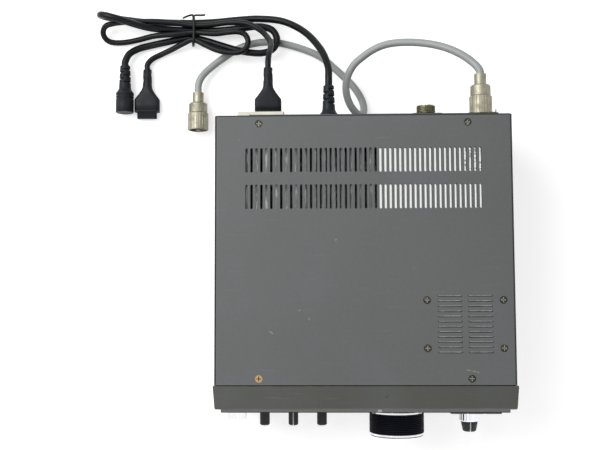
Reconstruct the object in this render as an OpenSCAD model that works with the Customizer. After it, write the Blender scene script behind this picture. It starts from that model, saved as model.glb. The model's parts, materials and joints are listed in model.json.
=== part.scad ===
// Desktop short-wave transceiver with its three plugged-in jumper cables.
// Frame: X to the right, Y to the back, Z up, origin under the middle of the set at the floor.

/* [Case] */
// Width of the covers
case_w = 243; // [216:1:264]
// Height of the covers
case_h = 86; // [78:1:104]
// Depth of the covers, front to back
cover_d = 219; // [206:1:250]
// Thickness of the steel covers
sheet_t = 1.2; // [0.8:0.1:1.6]
// Outer radius of the folded cover edges
bend_r = 2.5; // [2:0.1:4]
// Gap between the upper and the lower cover
cover_seam = 0.6; // [0.4:0.1:1.2]
// Thickness of the chassis sheet
chassis_t = 1.6; // [1:0.1:2]
// Height of the feet
foot_h = 8; // [7.5:0.5:14]
// Width of each foot
foot_w = 20; // [16:1:26]
// Distance of the foot centres from the sides of the case
foot_side = 31.5; // [22:0.5:40]

/* [Vents and speaker] */
// Width of a vent slot
vent_slot_w = 2; // [1.2:0.1:2.4]
// Length of a vent slot
vent_slot_l = 20; // [12:1:24]
// Pitch of the vent slots
vent_pitch = 4.05; // [3.6:0.01:4.1]
// Centre of the first slot from the left side of the case
vent_side = 26.3; // [21:0.1:30]
// Least distance of the last slot from the right side of the case
vent_end = 26.3; // [21:0.1:30]
// Middle of the back vent row from the back edge of the cover
vent_rear = 37; // [34:0.5:44]
// Distance between the two vent rows
vent_row_gap = 30; // [26:1:36]
// Slots that lie over the heat sink, counted from the left
sink_slots = 27; // [21:2:29]
// Thickness of a heat sink fin
fin_t = 2.2; // [1.2:0.1:3]
// Slots in each column of the speaker grille
grille_rows = 12; // [6:1:12]
// Pitch of the grille slots
grille_pitch = 4.1; // [3.2:0.1:4.2]
// Width of a grille slot
grille_slot_w = 1.3; // [0.8:0.1:1.8]
// Length of a grille slot
grille_slot_l = 19.6; // [14:0.2:20.4]
// Distance between the middles of the two grille columns
grille_col_gap = 24.4; // [22:0.2:25]
// Middle of the speaker from the right side of the case
speaker_side = 40.6; // [37.5:0.1:48]
// Middle of the speaker from the front edge of the cover
speaker_front = 48.4; // [40:0.1:60]
// Spacing of the speaker screws across the set
speaker_screw_dx = 61.1; // [56:0.1:62]
// Spacing of the speaker screws along the set
speaker_screw_dy = 38.5; // [36:0.1:46]
// Radius of the speaker opening
speaker_r = 20; // [14:0.5:20.5]

/* [Screws] */
// Distance of the cover screws from the sides of the case
screw_side = 36.2; // [25:0.1:50]
// Cover screws from the back edge of the cover
screw_rear = 6.7; // [5:0.1:9]
// Cover screws from the front edge of the cover
screw_front = 5; // [3.8:0.1:7]
// Radius of the screw heads
screw_head_r = 3.2; // [2.6:0.1:3.4]
// Radius of the screw shanks
screw_r = 1.5; // [1.2:0.1:1.8]
// Length of the screws
screw_l = 7; // [5:0.5:8]

/* [Front] */
// Depth of the front bezel
bezel_d = 19.5; // [18.5:0.5:28]
// Width of the groove between the bezel and the covers
groove_w = 0.9; // [0.4:0.1:1.5]
// Overhang of the bezel past each side of the covers
bezel_over = 1; // [0.5:0.1:2]
// Taper of each bezel side towards the front
bezel_taper = 1.5; // [0:0.1:2]
// Radius of the bezel's front edges
bezel_r = 1.6; // [0.8:0.1:2.5]
// Width of the bezel rim around the front panel
bezel_rim = 5.5; // [4.5:0.1:6]
// How far the front panel stands proud of the bezel
panel_proud = 3; // [1:0.5:5]
// Thickness of the front panel
panel_t = 5; // [4.5:0.5:7]
// Space between the front panel and the board behind it
board_gap = 8; // [7.5:0.5:9]
// Thickness of the circuit boards
board_t = 1.6; // [1:0.1:2]
// Thickness of the clear windows
window_t = 2; // [1:0.1:3]
// Space between the meter window and the display window
display_meter_gap = 11.5; // [6:0.5:20]
// Space between the display window and the right-hand keys
display_key_gap = 9.8; // [5:0.1:20]
// Height of the display window
display_h = 18; // [12:0.5:19]
// Width of the meter window
meter_w = 46; // [42:1:47]
// Height of the meter window
meter_h = 26; // [24:0.5:27]
// Middle of the meter from the left side of the front panel
meter_side = 32.5; // [28:0.5:33.5]

/* [Tuning dial] */
// Middle of the dial from the middle of the case
dial_x = 29; // [26:0.5:34]
// Height of the dial's axis above the bottom cover
dial_up = 32; // [31:0.5:32.5]
// Diameter of the rubber grip
dial_d = 46.5; // [40:0.5:47.5]
// Length of the rubber grip
dial_grip_l = 17; // [10:0.5:20]
// Number of ridges round the grip
dial_ridges = 11; // [5:1:14]
// Distance from the front panel to the back of the dial
dial_stand = 1; // [0.6:0.1:2]
// Length of the metal skirt behind the grip
dial_skirt_l = 4.5; // [2:0.5:8]
// Radius of the metal skirt behind the grip
dial_skirt_r = 17.5; // [12:0.5:18.5]
// Length of the metal cap in front of the grip
dial_cap_l = 4; // [2:0.5:6]
// Radius of the dial's shaft
dial_shaft_r = 3; // [2:0.5:4]

/* [Small controls] */
// Diameter of the three level knobs
level_d = 8.5; // [8:0.5:14]
// Length of the level knobs
level_l = 17.4; // [10:0.2:22]
// Pitch of the level knobs
level_pitch = 24.8; // [20:0.1:25]
// Left level knob from the left side of the front panel
level_side = 32.5; // [29.5:0.5:33.5]
// Height of the level knobs above the bottom cover
level_up = 22; // [19:0.5:23]
// Diameter of the outer gain knob
gain_d = 17; // [12:0.2:20]
// Length of the outer gain knob
gain_l = 13; // [8:0.2:16]
// Diameter of the inner gain knob
gain_top_d = 14; // [10:0.2:15]
// Length of the inner gain knob
gain_top_l = 8.4; // [6:0.2:12]
// Gain knobs from the right side of the case
gain_side = 30; // [24:0.5:32]
// Height of the gain knobs above the bottom cover
gain_up = 28; // [22:0.5:32]
// Width of the power button
power_w = 16; // [10:0.5:16.5]
// Height of the power button
power_h = 9; // [6:0.5:10]
// Reach of the power button in front of the panel
power_reach = 10.2; // [6:0.2:12]
// Travel of the power button
power_travel = 3; // [1.5:0.1:3.4]
// Width of a key
key_w = 13.4; // [8:0.2:13.6]
// Height of a right-hand key
key_h = 11; // [7:0.5:12]
// Height of a mode key
mode_key_h = 7; // [5:0.5:8]
// Space between neighbouring right-hand keys
key_space = 0.6; // [0.5:0.1:1.5]
// Space between neighbouring mode keys
mode_key_space = 4.1; // [2:0.1:5]
// Reach of the keys in front of the panel
key_proud = 2.8; // [1.1:0.1:3]
// Travel of the keys
key_travel = 1; // [0.5:0.1:1.2]
// Clear gap round each key and button
key_gap = 0.3; // [0.2:0.05:0.5]

/* [Rear] */
// Reach of the antenna sockets behind the cover
socket_reach = 11.4; // [10:0.2:14]
// Outer radius of the antenna sockets
socket_r = 7.9; // [7:0.1:8.4]
// Right antenna socket from the right side of the case
socket_side = 21.5; // [17:0.5:26]
// Distance between the two antenna sockets
socket_pitch = 46; // [34:0.5:56]
// Distance of the antenna sockets below the top of the case
socket_drop = 22; // [20:0.5:28]
// Height of the cable sockets above the bottom cover
jack_up = 46; // [42:0.5:50]
// Round accessory socket from the middle of the case
round_jack_x = -27.5; // [-32:0.5:-24]
// Flat data socket from the left side of the case
data_side = 35.5; // [30:0.5:40]
// Width of the flat data socket
data_w = 40; // [36:0.5:44]

/* [Cables] */
// Diameter of the coaxial cable
coax_d = 6.6; // [5:0.1:7.2]
// Diameter of the control cable
control_d = 6.4; // [4:0.1:6.6]
// Diameter of the data cable
data_d = 5.2; // [3:0.1:5.4]
// Outer radius of the coaxial plug's coupling ring
ring_r = 9.4; // [9:0.1:10]

/* [Hidden] */
$fn = 48;
slip = 0.2;
fit = 0.05;
touch_gap = 0.3;
cut = 1;
arc_steps = 6;

// Levels and planes of the case
top_z = foot_h + case_h;
split_z = foot_h + case_h / 2;
bezel_w = case_w + 2 * bezel_over;
dial_reach = panel_proud + dial_stand + dial_skirt_l + dial_grip_l + dial_cap_l;
overall_d = dial_reach + bezel_d + cover_d + socket_reach;
cover_y = -overall_d / 2 + dial_reach + bezel_d;
back_y = cover_y + cover_d;
bezel_y = cover_y - bezel_d;
face_y = bezel_y - panel_proud;
panel_back = face_y + panel_t;
board_y = panel_back + board_gap;
screw_x = case_w / 2 - screw_side;
foot_x = case_w / 2 - foot_side;
inner_x = case_w / 2 - sheet_t - slip;
inner_top = top_z - sheet_t;
inner_bottom = foot_h + sheet_t;
corner_room = bend_r + slip;
groove_deep = 1.5;
recess_l = 3.8;
recess_w = 0.8;
recess_deep = 0.8;

// Chassis, boards and back plate
rear_t = 2;
rear_y = back_y - rear_t / 2;
rear_face = rear_y + rear_t;
flange_d = 12;
flange_side = 8;
flange_x = screw_x + flange_side;
deck_drop = 5;
deck_z = split_z - deck_drop;
deck_short = 19;
deck_back = back_y - deck_short;
board_side = 20;
board_x = case_w / 2 - board_side;
board_front = cover_y + board_side;
board_drop = 22;
main_board_z = deck_z - board_drop;
post_r = 3;
post_in = 8;

// Front panel
panel_w = bezel_w - 2 * bezel_rim;
panel_bottom = foot_h + bezel_rim;
panel_top = top_z - bezel_rim;
panel_r = 2.5;
board_in = 2;
boss_r = 3;

// Display and meter
window_lip = 0.5;
window_r = 1.5;
case_lip = 2;
display_drop = 13.5;
display_z = panel_top - display_drop;
meter_x = -panel_w / 2 + meter_side;
meter_drop = 17;
meter_z = panel_top - meter_drop;
meter_low = meter_z - meter_h / 2 - case_lip;
meter_floor = 1.5;
needle_up = 3.5;
needle_z = meter_z - meter_h / 2 + needle_up;
needle_l = 17;
needle_t = 0.7;
needle_rest = 45;
needle_y = 2.5;
needle_pin_r = 0.8;
needle_hub_r = 2;
needle_hub_l = 2;

// Buttons, keys and sockets of the front
button_r = 1.2;
button_flange_t = 1;
key_flange = 1;
power_in = 10;
power_x = -panel_w / 2 + power_in;
power_gap = 4;
power_z = meter_low - power_gap - power_h / 2 - key_flange;
mic_x = power_x;
mic_up = 16;
mic_z = foot_h + mic_up;
mic_r = 7.5;
mic_bore_r = 6.4;
mic_reach = 6;
mic_floor = 1;
mic_wall = 1.5;
mic_pins = 8;
mic_pin_r = 0.6;
mic_pin_ring = 3.84;
phones_up = 17;
phones_z = foot_h + phones_up;
phones_r = 4.8;
phones_bore_r = 3.2;
phones_reach = 2.5;
phones_nut = 1.8;
key_drop = 19;
key_z = panel_top - key_drop;
key_in = 11.5;
key_pitch = key_w + key_space;
key_start_x = panel_w / 2 - key_in - 2 * key_pitch;
mode_key_gap = 3;
mode_key_z = meter_low - mode_key_gap - mode_key_h / 2 - key_flange;
mode_key_side = 38;
mode_key_x = -panel_w / 2 + mode_key_side;
mode_key_pitch = key_w + mode_key_space;
key_flange_t = 1.5;
keys = concat([for (i = [0:2]) [key_start_x + i * key_pitch, key_z, key_h]],
              [for (i = [0:3]) [mode_key_x + i * mode_key_pitch, mode_key_z, mode_key_h]]);

// Turning controls
knob_stand = 0.6;
stem_depth = 6;
knob_edge = 0.9;
flute_r = 0.45;
flute_out = 0.18;
level_x = -panel_w / 2 + level_side;
level_z = foot_h + level_up;
level_pot_r = 5.5;
level_bush_r = 3.5;
level_stem_r = 2;
level_flutes = 18;
gain_x = case_w / 2 - gain_side;
gain_z = foot_h + gain_up;
gain_front = face_y - knob_stand - gain_l;
gain_pot_r = 9;
gain_bush_r = 5;
gain_sleeve_r = 3;
gain_spindle_r = 1.5;
gain_flutes = 18;
skirt_floor = 1.5;
spindle_in = 5;
gain_top_taper = 1.2;
gain_top_band = 1.5;
dial_z = foot_h + dial_up;
dial_back = face_y - dial_stand;
grip_back = dial_back - dial_skirt_l;
grip_front = grip_back - dial_grip_l;
dial_front = grip_front - dial_cap_l;
grip_wall = 3;
dial_core_r = dial_d / 2 - grip_wall;
dial_flange_t = 1.4;
phones_x = (level_x + 2 * level_pitch + dial_x - dial_d / 2) / 2;
dial_web = 3;
dial_bore_y = grip_front + dial_web;
bush_wall = 2;
dial_bush_r = dial_shaft_r + bush_wall;
dial_cap_in = 1;
dial_flange_in = 0.6;
dial_face_in = 1.2;
dial_rim_edge = 1.6;
dial_rim_w = 1.6;
dial_rim_slope = 0.8;
encoder_r = 12;
dimple_r = 6.5;
dimple_deep = 2.5;
dimple_in = 8;
ridge_h = 0.7;
ridge_profile = [[0.1, ridge_h], [0.3, 0], [0.7, 0], [0.9, ridge_h]];

// Display between the meter and the keys, and the posts of the front board
display_left = meter_x + meter_w / 2 + display_meter_gap;
display_right = key_start_x - key_w / 2 - display_key_gap;
display_w = display_right - display_left;
display_x = (display_left + display_right) / 2;
boss_gap = 3;
boss_up = 10;
boss_low = foot_h + boss_up;
boss_high = display_z - display_h / 2 - case_lip - boss_gap - boss_r;
bosses = [[-70, boss_low], [60, boss_low], [-4, boss_high], [66, boss_high]];

// Loudspeaker
speaker_x = case_w / 2 - speaker_side;
speaker_y = cover_y + speaker_front;
speaker_edge = 6.6;
speaker_w = speaker_screw_dx + speaker_edge;
speaker_l = speaker_screw_dy + speaker_edge;
speaker_t = 2;
basket_h = 14;
basket_t = 1.5;
magnet_r = 16;
magnet_h = 10;
basket_neck_r = 14;
cone_t = 0.8;
cone_neck_r = 5;
cone_deep = 8.4;
cone_cap_h = 1.2;

// Heat sink and shield under the vents
vent_x = -case_w / 2 + vent_side;
vent_y = back_y - vent_rear;
vent_count = floor((case_w - vent_side - vent_end) / vent_pitch) + 1;
sink_over = 6;
sink_front = vent_y - vent_row_gap - vent_slot_l / 2 - sink_over;
sink_back = vent_y + vent_slot_l / 2 + sink_over;
sink_lip = 1.8;
sink_base = 5;
sink_gap = 7;
can_gap = 0.5;
can_drop = 1.2;
can_t = 0.8;

// Feet and bail
foot_front_in = 18;
foot_front = cover_y + foot_front_in;
foot_back_in = 24;
foot_back = back_y - foot_back_in;
foot_l = 16;
bail_r = 2;
bail_drop = 3.6;
bail_z = foot_h - bail_drop;
bail_l = 46;
bail_in = 5;
bail_x = foot_x - foot_w / 2 - bail_in;
bail_grip = 6;
foot_r = 2;

// Sockets of the back
antenna_x = case_w / 2 - socket_side;
spare_x = antenna_x - socket_pitch;
socket_z = top_z - socket_drop;
socket_tip = back_y + socket_reach;
socket_flange = 25;
socket_flange_t = 2;
socket_corner = 1;
socket_wall = 2.2;
socket_stub_r = 6;
socket_stub_l = 12;
socket_pin_r = 2;
socket_pin_l = 9;
dielectric_in = 1.5;
notch_count = 12;
notch_w = 1.2;
notch_deep = 0.9;
thread_count = 6;
thread_h = 0.5;
thread_profile = [[0, thread_h], [0.3, 0], [0.6, 0], [0.9, thread_h]];
jack_z = foot_h + jack_up;
jack_r = 9.8;
cup_floor = 2;
cup_lip = 1.2;
cup_deep = 11.3;
data_x = -case_w / 2 + data_side;
data_plug_in = 6;
data_plug_x = data_x + data_plug_in;
data_h = 14;
data_reach = 9;
tongue_w = 18;
tongue_t = 5;
tongue_l = 6;
inlet_x = 10;
inlet_up = 22;
inlet_z = foot_h + inlet_up;
inlet_w = 22;
inlet_h = 15;
inlet_l = 10;
inlet_reach = 5;
inlet_pitch = 6.5;
inlet_hole = 4;
inlet_hole_r = 0.5;
ground_x = 74;
ground_up = 22;
ground_z = foot_h + ground_up;
ground_r = 2;
ground_head = 3;
ground_head_r = 4;
nut_stand = 3;
nut_l = 5;
nut_r = 5.5;
nut_edge = 0.5;
ground_end = 1.5;

// Plugs
plug_nose_l = 7.6;
plug_body_l = 17;
plug_l = 26.6;
plug_sleeve_r = 5;
nose_r = 7.6;
collar_r = 8.4;
collar_edge = 1;
ring_front = -8;
ring_lip = 2;
ring_edge = 0.5;
ring_gap = 0.08;
ring_flutes = 24;
control_body_r = 8.2;
control_body_l = 13;
control_l = 44;
control_edge = 1;
relief_r = 4.8;
relief_ribs = 5;
bell_r = 7.4;
bell_start = 18;
bell_steps = 5;
relief_start = 28;
relief_end = 4;
relief_collar = 0.8;
relief_groove = 0.5;
relief_taper = 0.15;
rib_profile = [[0, 0], [0.55, 0], [0.6, 1], [0.95, 1]];
data_plug_w = 23;
data_plug_t = 9;
data_plug_l = 40;
data_shoulder = 12;
data_waist = 23;
data_neck = 3.2;
data_neck_slope = 1;
floor_gap = 0.2;

// Plug places: mating point of each plug, all lying along Y
coax_near = [antenna_x, socket_tip, socket_z];
coax_far = [-147, 140, ring_r + floor_gap];
control_near = [round_jack_x, rear_face - cup_deep, jack_z];
control_far = [-215, 149, control_body_r + floor_gap];
data_near = [data_plug_x, rear_face + data_reach, jack_z];
data_far = [-195, 150, data_plug_t / 2 + floor_gap];

// Cable routes, from the plug in the set to the plug at the far end
coax_path = concat([coax_near + [0, plug_l, 0], coax_near + [0, plug_l + 2, 0]], [
  [98.6, 171.8, 71.5], [95, 176.4, 70], [89.6, 181.6, 68], [83, 186.6, 65.4], [75, 191.4, 62],
  [66, 195.3, 58.4], [56, 198.2, 54.8], [45, 200.2, 51.2], [33, 201, 47.6], [22, 200, 44.6],
  [12.5, 196.8, 41.8], [4, 191.8, 39.2], [-5, 184.4, 36.6], [-10.5, 174.5, 34],
  [-12, 164, 31.2], [-10, 154.7, 28.2], [-5.8, 147.4, 24.8], [-0.7, 143.7, 19.2], [3.5, 145.4, 12],
  [5, 151.3, 6.2], [3.4, 159.5, 3.6], [-0.8, 167.5, 3.6], [-6.5, 175, 3.6], [-13.5, 182, 3.6],
  [-22, 190, 3.6], [-35, 201, 3.6], [-53, 209, 3.6], [-72, 214, 3.6], [-90, 215, 3.6],
  [-109, 210, 3.8], [-126, 199, 5], [-138, 189, 7], [-144.5, 181, 8.8]],
  [coax_far + [0, plug_l + 7, 0], coax_far + [0, plug_l, 0]]);

control_path = concat([control_near + [0, control_l, 0], control_near + [0, control_l + 8, 0]], [
  [-28, 180, 51], [-34, 197, 42], [-48, 217, 27], [-68, 231, 15], [-91, 236, 8], [-112, 236, 5],
  [-132, 234.4, 4.6], [-152, 233.6, 4.8], [-175, 234.6, 3.8], [-197, 235.4, 3.5], [-213, 237.4, 3.5],
  [-226.8, 239.4, 3.8], [-234.2, 239.8, 6.8], [-237.2, 239.2, 14], [-234.2, 237.4, 21.2], [-226.8, 235, 24.2],
  [-216, 232.2, 22.4], [-204, 229.4, 16.8], [-190, 227.6, 10], [-172, 227, 6], [-152, 226.6, 4.8],
  [-130, 225.4, 7.4], [-108, 226.4, 10.8], [-97, 227.4, 11.8], [-86.4, 227, 11.8], [-78, 223.4, 11.8],
  [-74.4, 215, 11.8], [-78, 206.6, 11.8], [-86.4, 203, 11.8], [-97, 203, 11.8], [-110, 205.4, 11.6],
  [-128, 211.5, 9.4], [-139, 215.8, 6.4], [-152, 219.4, 4.8], [-165, 218.6, 3.8], [-178, 216.2, 3.5],
  [-191, 213.4, 3.6], [-203, 210, 4.8], [-211.4, 204.6, 7]],
  [control_far + [0, control_l + 4, 0], control_far + [0, control_l, 0]]);

data_path = concat([data_near + [0, data_plug_l, 0], data_near + [0, data_plug_l + 6, 0]], [
  [-79.5, 191, 51], [-78.5, 199, 43.5], [-79, 206, 35.5], [-83, 214, 27.5], [-90, 222, 21.5],
  [-102, 229, 17.4], [-118, 231, 14], [-135, 230, 11.6], [-152, 230, 10.4], [-170, 232.6, 10.2],
  [-188, 234, 10.2], [-204, 233.8, 10.6], [-216, 233, 12.4], [-227, 231.2, 13.3], [-233.4, 229, 11.8],
  [-236, 223.8, 8.2], [-233.4, 218.6, 4.6], [-227, 216.4, 3.2], [-216, 216.6, 3], [-204, 218.2, 4.8],
  [-188, 220.6, 9], [-170, 221.6, 10.2], [-152, 223.2, 10.4], [-132, 220.8, 13.8], [-120, 221, 17],
  [-110, 221.1, 18.2], [-103.2, 218.3, 18.2], [-100.4, 211.5, 18.2], [-103.2, 204.7, 18.2],
  [-110, 201.9, 17.8], [-120, 202.6, 16.6], [-130, 205.4, 15], [-141, 211, 12.6], [-152, 216.4, 10.4],
  [-162, 213, 8.4], [-172, 209, 5], [-182, 205, 2.9], [-190.5, 200.4, 3.8]],
  [data_far + [0, data_plug_l + 5, 0], data_far + [0, data_plug_l, 0]]);

tie_x = -152;
tie_t = 1;
tie_w = 3;
tie_y = [211, 239.6];
tie_z = [floor_gap, 14.8];
tie_tail = 8;
tie_lean = -70;
tie_spread = 35;

coax_sides = 10;
thin_sides = 8;
upward = [0, 0, 1];
slantwise = [0, 1, 1];
samples = 2;

// Box from its lowest corner to its highest corner
module box(low, high) {
  translate(low) cube(high - low);
}

// Round bar along Y
module rod(x, y, z, r, l) {
  translate([x, y, z]) rotate([-90, 0, 0]) cylinder(h = l, r = r);
}

// Body turned about an axis along Y, from points of radius and Y
module turned(x, z, points) {
  translate([x, 0, z]) rotate([-90, 0, 0]) rotate_extrude() polygon(points);
}

// Rectangle with round corners, centred
module round_rect(w, h, r) {
  square([w - 2 * r, h], center = true);
  square([w, h - 2 * r], center = true);
  for (sx = [-1, 1], sy = [-1, 1])
    translate([sx * (w / 2 - r), sy * (h / 2 - r)]) circle(r = r);
}

// Bar of rounded rectangular section along Y
module round_bar(x, z, w, h, r, y, l) {
  translate([x, y + l, z]) rotate([90, 0, 0]) linear_extrude(l) round_rect(w, h, r);
}

// Slot with round ends, lying along its length
module slot_shape(w, l) {
  square([w, l - w], center = true);
  for (s = [-1, 1]) translate([0, s * (l - w) / 2]) circle(d = w);
}

// Grooves cut along a knob whose axis is Y
module flutes(x, y, z, ring, r, l, count) {
  for (i = [0:count - 1])
    rod(x + ring * cos(360 * i / count), y, z + ring * sin(360 * i / count), r, l);
}

// Countersunk cross-head screw, head flush at its origin, pointing down
module screw() {
  difference() {
    union() {
      translate([0, 0, -sheet_t]) cylinder(h = sheet_t, r1 = screw_r, r2 = screw_head_r);
      translate([0, 0, -screw_l]) cylinder(h = screw_l - sheet_t, r = screw_r);
    }
    for (turn = [0, 90])
      rotate([0, 0, turn]) cube([recess_l, recess_w, 2 * recess_deep], center = true);
  }
}

// Hole that the screw sits in, through a sheet and what lies under it
module screw_hole() {
  translate([0, 0, -sheet_t])
    cylinder(h = sheet_t + fit, r1 = screw_r + fit, r2 = screw_head_r + 2 * fit);
  translate([0, 0, -screw_l - cut]) cylinder(h = screw_l + cut, r = screw_r + fit);
}

// Places of the screws in the top cover
module at_cover_screws(xs = [-screw_x, screw_x], ys = [cover_y + screw_front, back_y - screw_rear]) {
  for (x = xs, y = ys) translate([x, y, top_z]) children();
}

// Places of the screws in the bottom cover
module at_base_screws() {
  for (x = [-screw_x, screw_x], y = [cover_y + screw_front, back_y - screw_rear])
    translate([x, y, foot_h]) mirror([0, 0, 1]) children();
}

// Places of the screws that hold the speaker
module at_speaker_screws() {
  for (sx = [-1, 1], sy = [-1, 1])
    translate([speaker_x + sx * speaker_screw_dx / 2, speaker_y + sy * speaker_screw_dy / 2, top_z])
      children();
}

// Section of a cover, open at its bottom
module cover_section(w, h, r) {
  translate([-w / 2, 0]) square([w, h - r]);
  translate([-w / 2 + r, 0]) square([w - 2 * r, h]);
  for (s = [-1, 1]) translate([s * (w / 2 - r), h - r]) circle(r = r);
}

// Folded cover standing on its open side
module cover_shell(h) {
  translate([0, back_y, 0]) rotate([90, 0, 0]) linear_extrude(cover_d)
    difference() {
      cover_section(case_w, h, bend_r);
      translate([0, -cut])
        cover_section(case_w - 2 * sheet_t, h - sheet_t + cut, bend_r - sheet_t);
    }
}

// Upper cover with its vents and speaker grille
module top_cover() {
  low = split_z + cover_seam / 2;
  color("dimgray") difference() {
    translate([0, 0, low]) cover_shell(top_z - low);
    translate([0, 0, inner_top - cut]) linear_extrude(sheet_t + 2 * cut) {
      for (i = [0:vent_count - 1], row = [0, 1])
        translate([vent_x + i * vent_pitch, vent_y - row * vent_row_gap])
          slot_shape(vent_slot_w, vent_slot_l);
      for (i = [0:grille_rows - 1], col = [-1, 1])
        translate([speaker_x + col * grille_col_gap / 2,
                   speaker_y + (i - (grille_rows - 1) / 2) * grille_pitch])
          rotate([0, 0, 90]) slot_shape(grille_slot_w, grille_slot_l);
    }
    at_cover_screws() screw_hole();
    at_speaker_screws() screw_hole();
  }
}

// Lower cover
module bottom_cover() {
  high = split_z - cover_seam / 2;
  color("dimgray") difference() {
    translate([0, 0, high]) mirror([0, 0, 1]) cover_shell(high - foot_h);
    at_base_screws() screw_hole();
  }
}

// Main frame: side walls, deck, front plate and the flanges that take the covers
module chassis() {
  wall_low = inner_bottom + corner_room;
  wall_high = inner_top - corner_room;
  color("silver") difference() {
    union() {
      for (s = [-1, 1])
        translate([s * (inner_x - chassis_t / 2), (cover_y + rear_y) / 2, (wall_low + wall_high) / 2])
          cube([chassis_t, rear_y - cover_y, wall_high - wall_low], center = true);
      box([-inner_x, cover_y, deck_z], [inner_x, deck_back, deck_z + chassis_t]);
      box([-inner_x, cover_y, wall_low], [inner_x, cover_y + chassis_t, wall_high]);
      box([-flange_x, cover_y, inner_bottom], [flange_x, cover_y + chassis_t, inner_top]);
      for (z = [inner_bottom, inner_top - chassis_t])
        box([-flange_x, cover_y, z], [flange_x, cover_y + flange_d, z + chassis_t]);
      for (x = [-board_x + post_in, board_x - post_in],
           y = [board_front + post_in, deck_back - 2 * post_in])
        translate([x, y, main_board_z + board_t])
          cylinder(h = deck_z - main_board_z - board_t + cut / 2, r = post_r);
    }
    at_cover_screws() screw_hole();
    at_base_screws() screw_hole();
  }
}

// Back plate with the cut-outs for the sockets
module rear_panel() {
  color("dimgray") difference() {
    union() {
      box([-inner_x, rear_y, inner_bottom + corner_room], [inner_x, rear_face, inner_top - corner_room]);
      box([-flange_x, rear_y, inner_bottom], [flange_x, rear_face, inner_top]);
      for (z = [inner_bottom, inner_top - chassis_t])
        box([-flange_x, rear_y - flange_d, z], [flange_x, rear_face, z + chassis_t]);
    }
    at_cover_screws() screw_hole();
    at_base_screws() screw_hole();
    for (x = [antenna_x, spare_x])
      rod(x, rear_y - cut, socket_z, socket_stub_r + slip, rear_t + 2 * cut);
    rod(round_jack_x, rear_y - cut, jack_z, jack_r + slip, rear_t + 2 * cut);
    round_bar(data_x, jack_z, data_w + 2 * slip, data_h + 2 * slip, slip, rear_y - cut, rear_t + 2 * cut);
    round_bar(inlet_x, inlet_z, inlet_w + 2 * slip, inlet_h + 2 * slip, slip, rear_y - cut, rear_t + 2 * cut);
    rod(ground_x, rear_y - cut, ground_z, ground_r + slip, rear_t + 2 * cut);
  }
}

// Points of an arc about a centre, from one angle to another
function arc(centre, r, from, to) =
  [for (k = [0:arc_steps]) let (a = from + (to - from) * k / arc_steps) centre + r * [cos(a), sin(a)]];

// Groove round the back edge of the bezel, next to the covers
module bezel_groove() {
  side_in = bezel_over + groove_deep;
  difference() {
    box([-bezel_w / 2 - cut, cover_y - groove_w, foot_h - cut],
        [bezel_w / 2 + cut, cover_y + cut, top_z + cut]);
    box([side_in - bezel_w / 2, cover_y - groove_w - cut, foot_h + groove_deep],
        [bezel_w / 2 - side_in, cover_y + 2 * cut, top_z - groove_deep]);
  }
}

// Frame round the front panel, its sides tapered and its front edges rounded
module front_bezel() {
  back_x = bezel_w / 2;
  front_x = back_x - bezel_taper;
  round_y = bezel_y + bezel_r;
  color([0.34, 0.34, 0.32]) difference() {
    intersection() {
      translate([0, 0, foot_h]) linear_extrude(case_h)
        polygon(concat([[-back_x, cover_y], [back_x, cover_y]],
                       arc([front_x - bezel_r, round_y], bezel_r, 0, -90),
                       arc([bezel_r - front_x, round_y], bezel_r, -90, -180)));
      translate([-back_x - cut, 0, 0]) rotate([90, 0, 90]) linear_extrude(bezel_w + 2 * cut)
        polygon(concat([[cover_y + cut, foot_h], [cover_y + cut, top_z]],
                       arc([round_y, top_z - bezel_r], bezel_r, 90, 180),
                       arc([round_y, foot_h + bezel_r], bezel_r, 180, 270)));
    }
    round_bar(0, (panel_bottom + panel_top) / 2, panel_w, panel_top - panel_bottom, panel_r,
              bezel_y - cut, bezel_d + 2 * cut);
    bezel_groove();
  }
}

// Moulded front panel with the openings for every control
module front_panel() {
  hole_y = face_y - cut;
  hole_l = panel_t + 2 * cut;
  color([0.25, 0.26, 0.27]) union() {
    difference() {
      round_bar(0, (panel_bottom + panel_top) / 2, panel_w - 2 * slip,
                panel_top - panel_bottom - 2 * slip, panel_r - slip, face_y, panel_t);
      round_bar(display_x, display_z, display_w, display_h, window_r, hole_y, hole_l);
      round_bar(meter_x, meter_z, meter_w, meter_h, window_r, hole_y, hole_l);
      round_bar(power_x, power_z, power_w + 2 * key_gap, power_h + 2 * key_gap, button_r + key_gap,
                hole_y, hole_l);
      for (k = keys)
        round_bar(k[0], k[1], key_w + 2 * key_gap, k[2] + 2 * key_gap, button_r + key_gap, hole_y, hole_l);
      for (i = [0:2]) rod(level_x + i * level_pitch, hole_y, level_z, level_bush_r + fit, hole_l);
      rod(gain_x, hole_y, gain_z, gain_bush_r + fit, hole_l);
      rod(dial_x, hole_y, dial_z, dial_bush_r + fit, hole_l);
      rod(mic_x, hole_y, mic_z, mic_r + fit, hole_l);
      rod(phones_x, hole_y, phones_z, phones_r + fit, hole_l);
    }
    for (b = bosses) rod(b[0], panel_back - cut, b[1], boss_r, board_gap + cut);
  }
}

// Clear windows over the display and the meter
module windows() {
  color([0.2, 0.25, 0.25, 0.6]) {
    round_bar(display_x, display_z, display_w - 2 * fit, display_h - 2 * fit, window_r - fit,
              face_y + window_lip, window_t);
    round_bar(meter_x, meter_z, meter_w - 2 * fit, meter_h - 2 * fit, window_r - fit,
              face_y + window_lip, window_t);
  }
}

// Display glass on the front board
module display_module() {
  color([0.1, 0.16, 0.16])
    round_bar(display_x, display_z, display_w + 2 * case_lip, display_h + 2 * case_lip, window_r,
              panel_back, board_gap);
}

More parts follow.
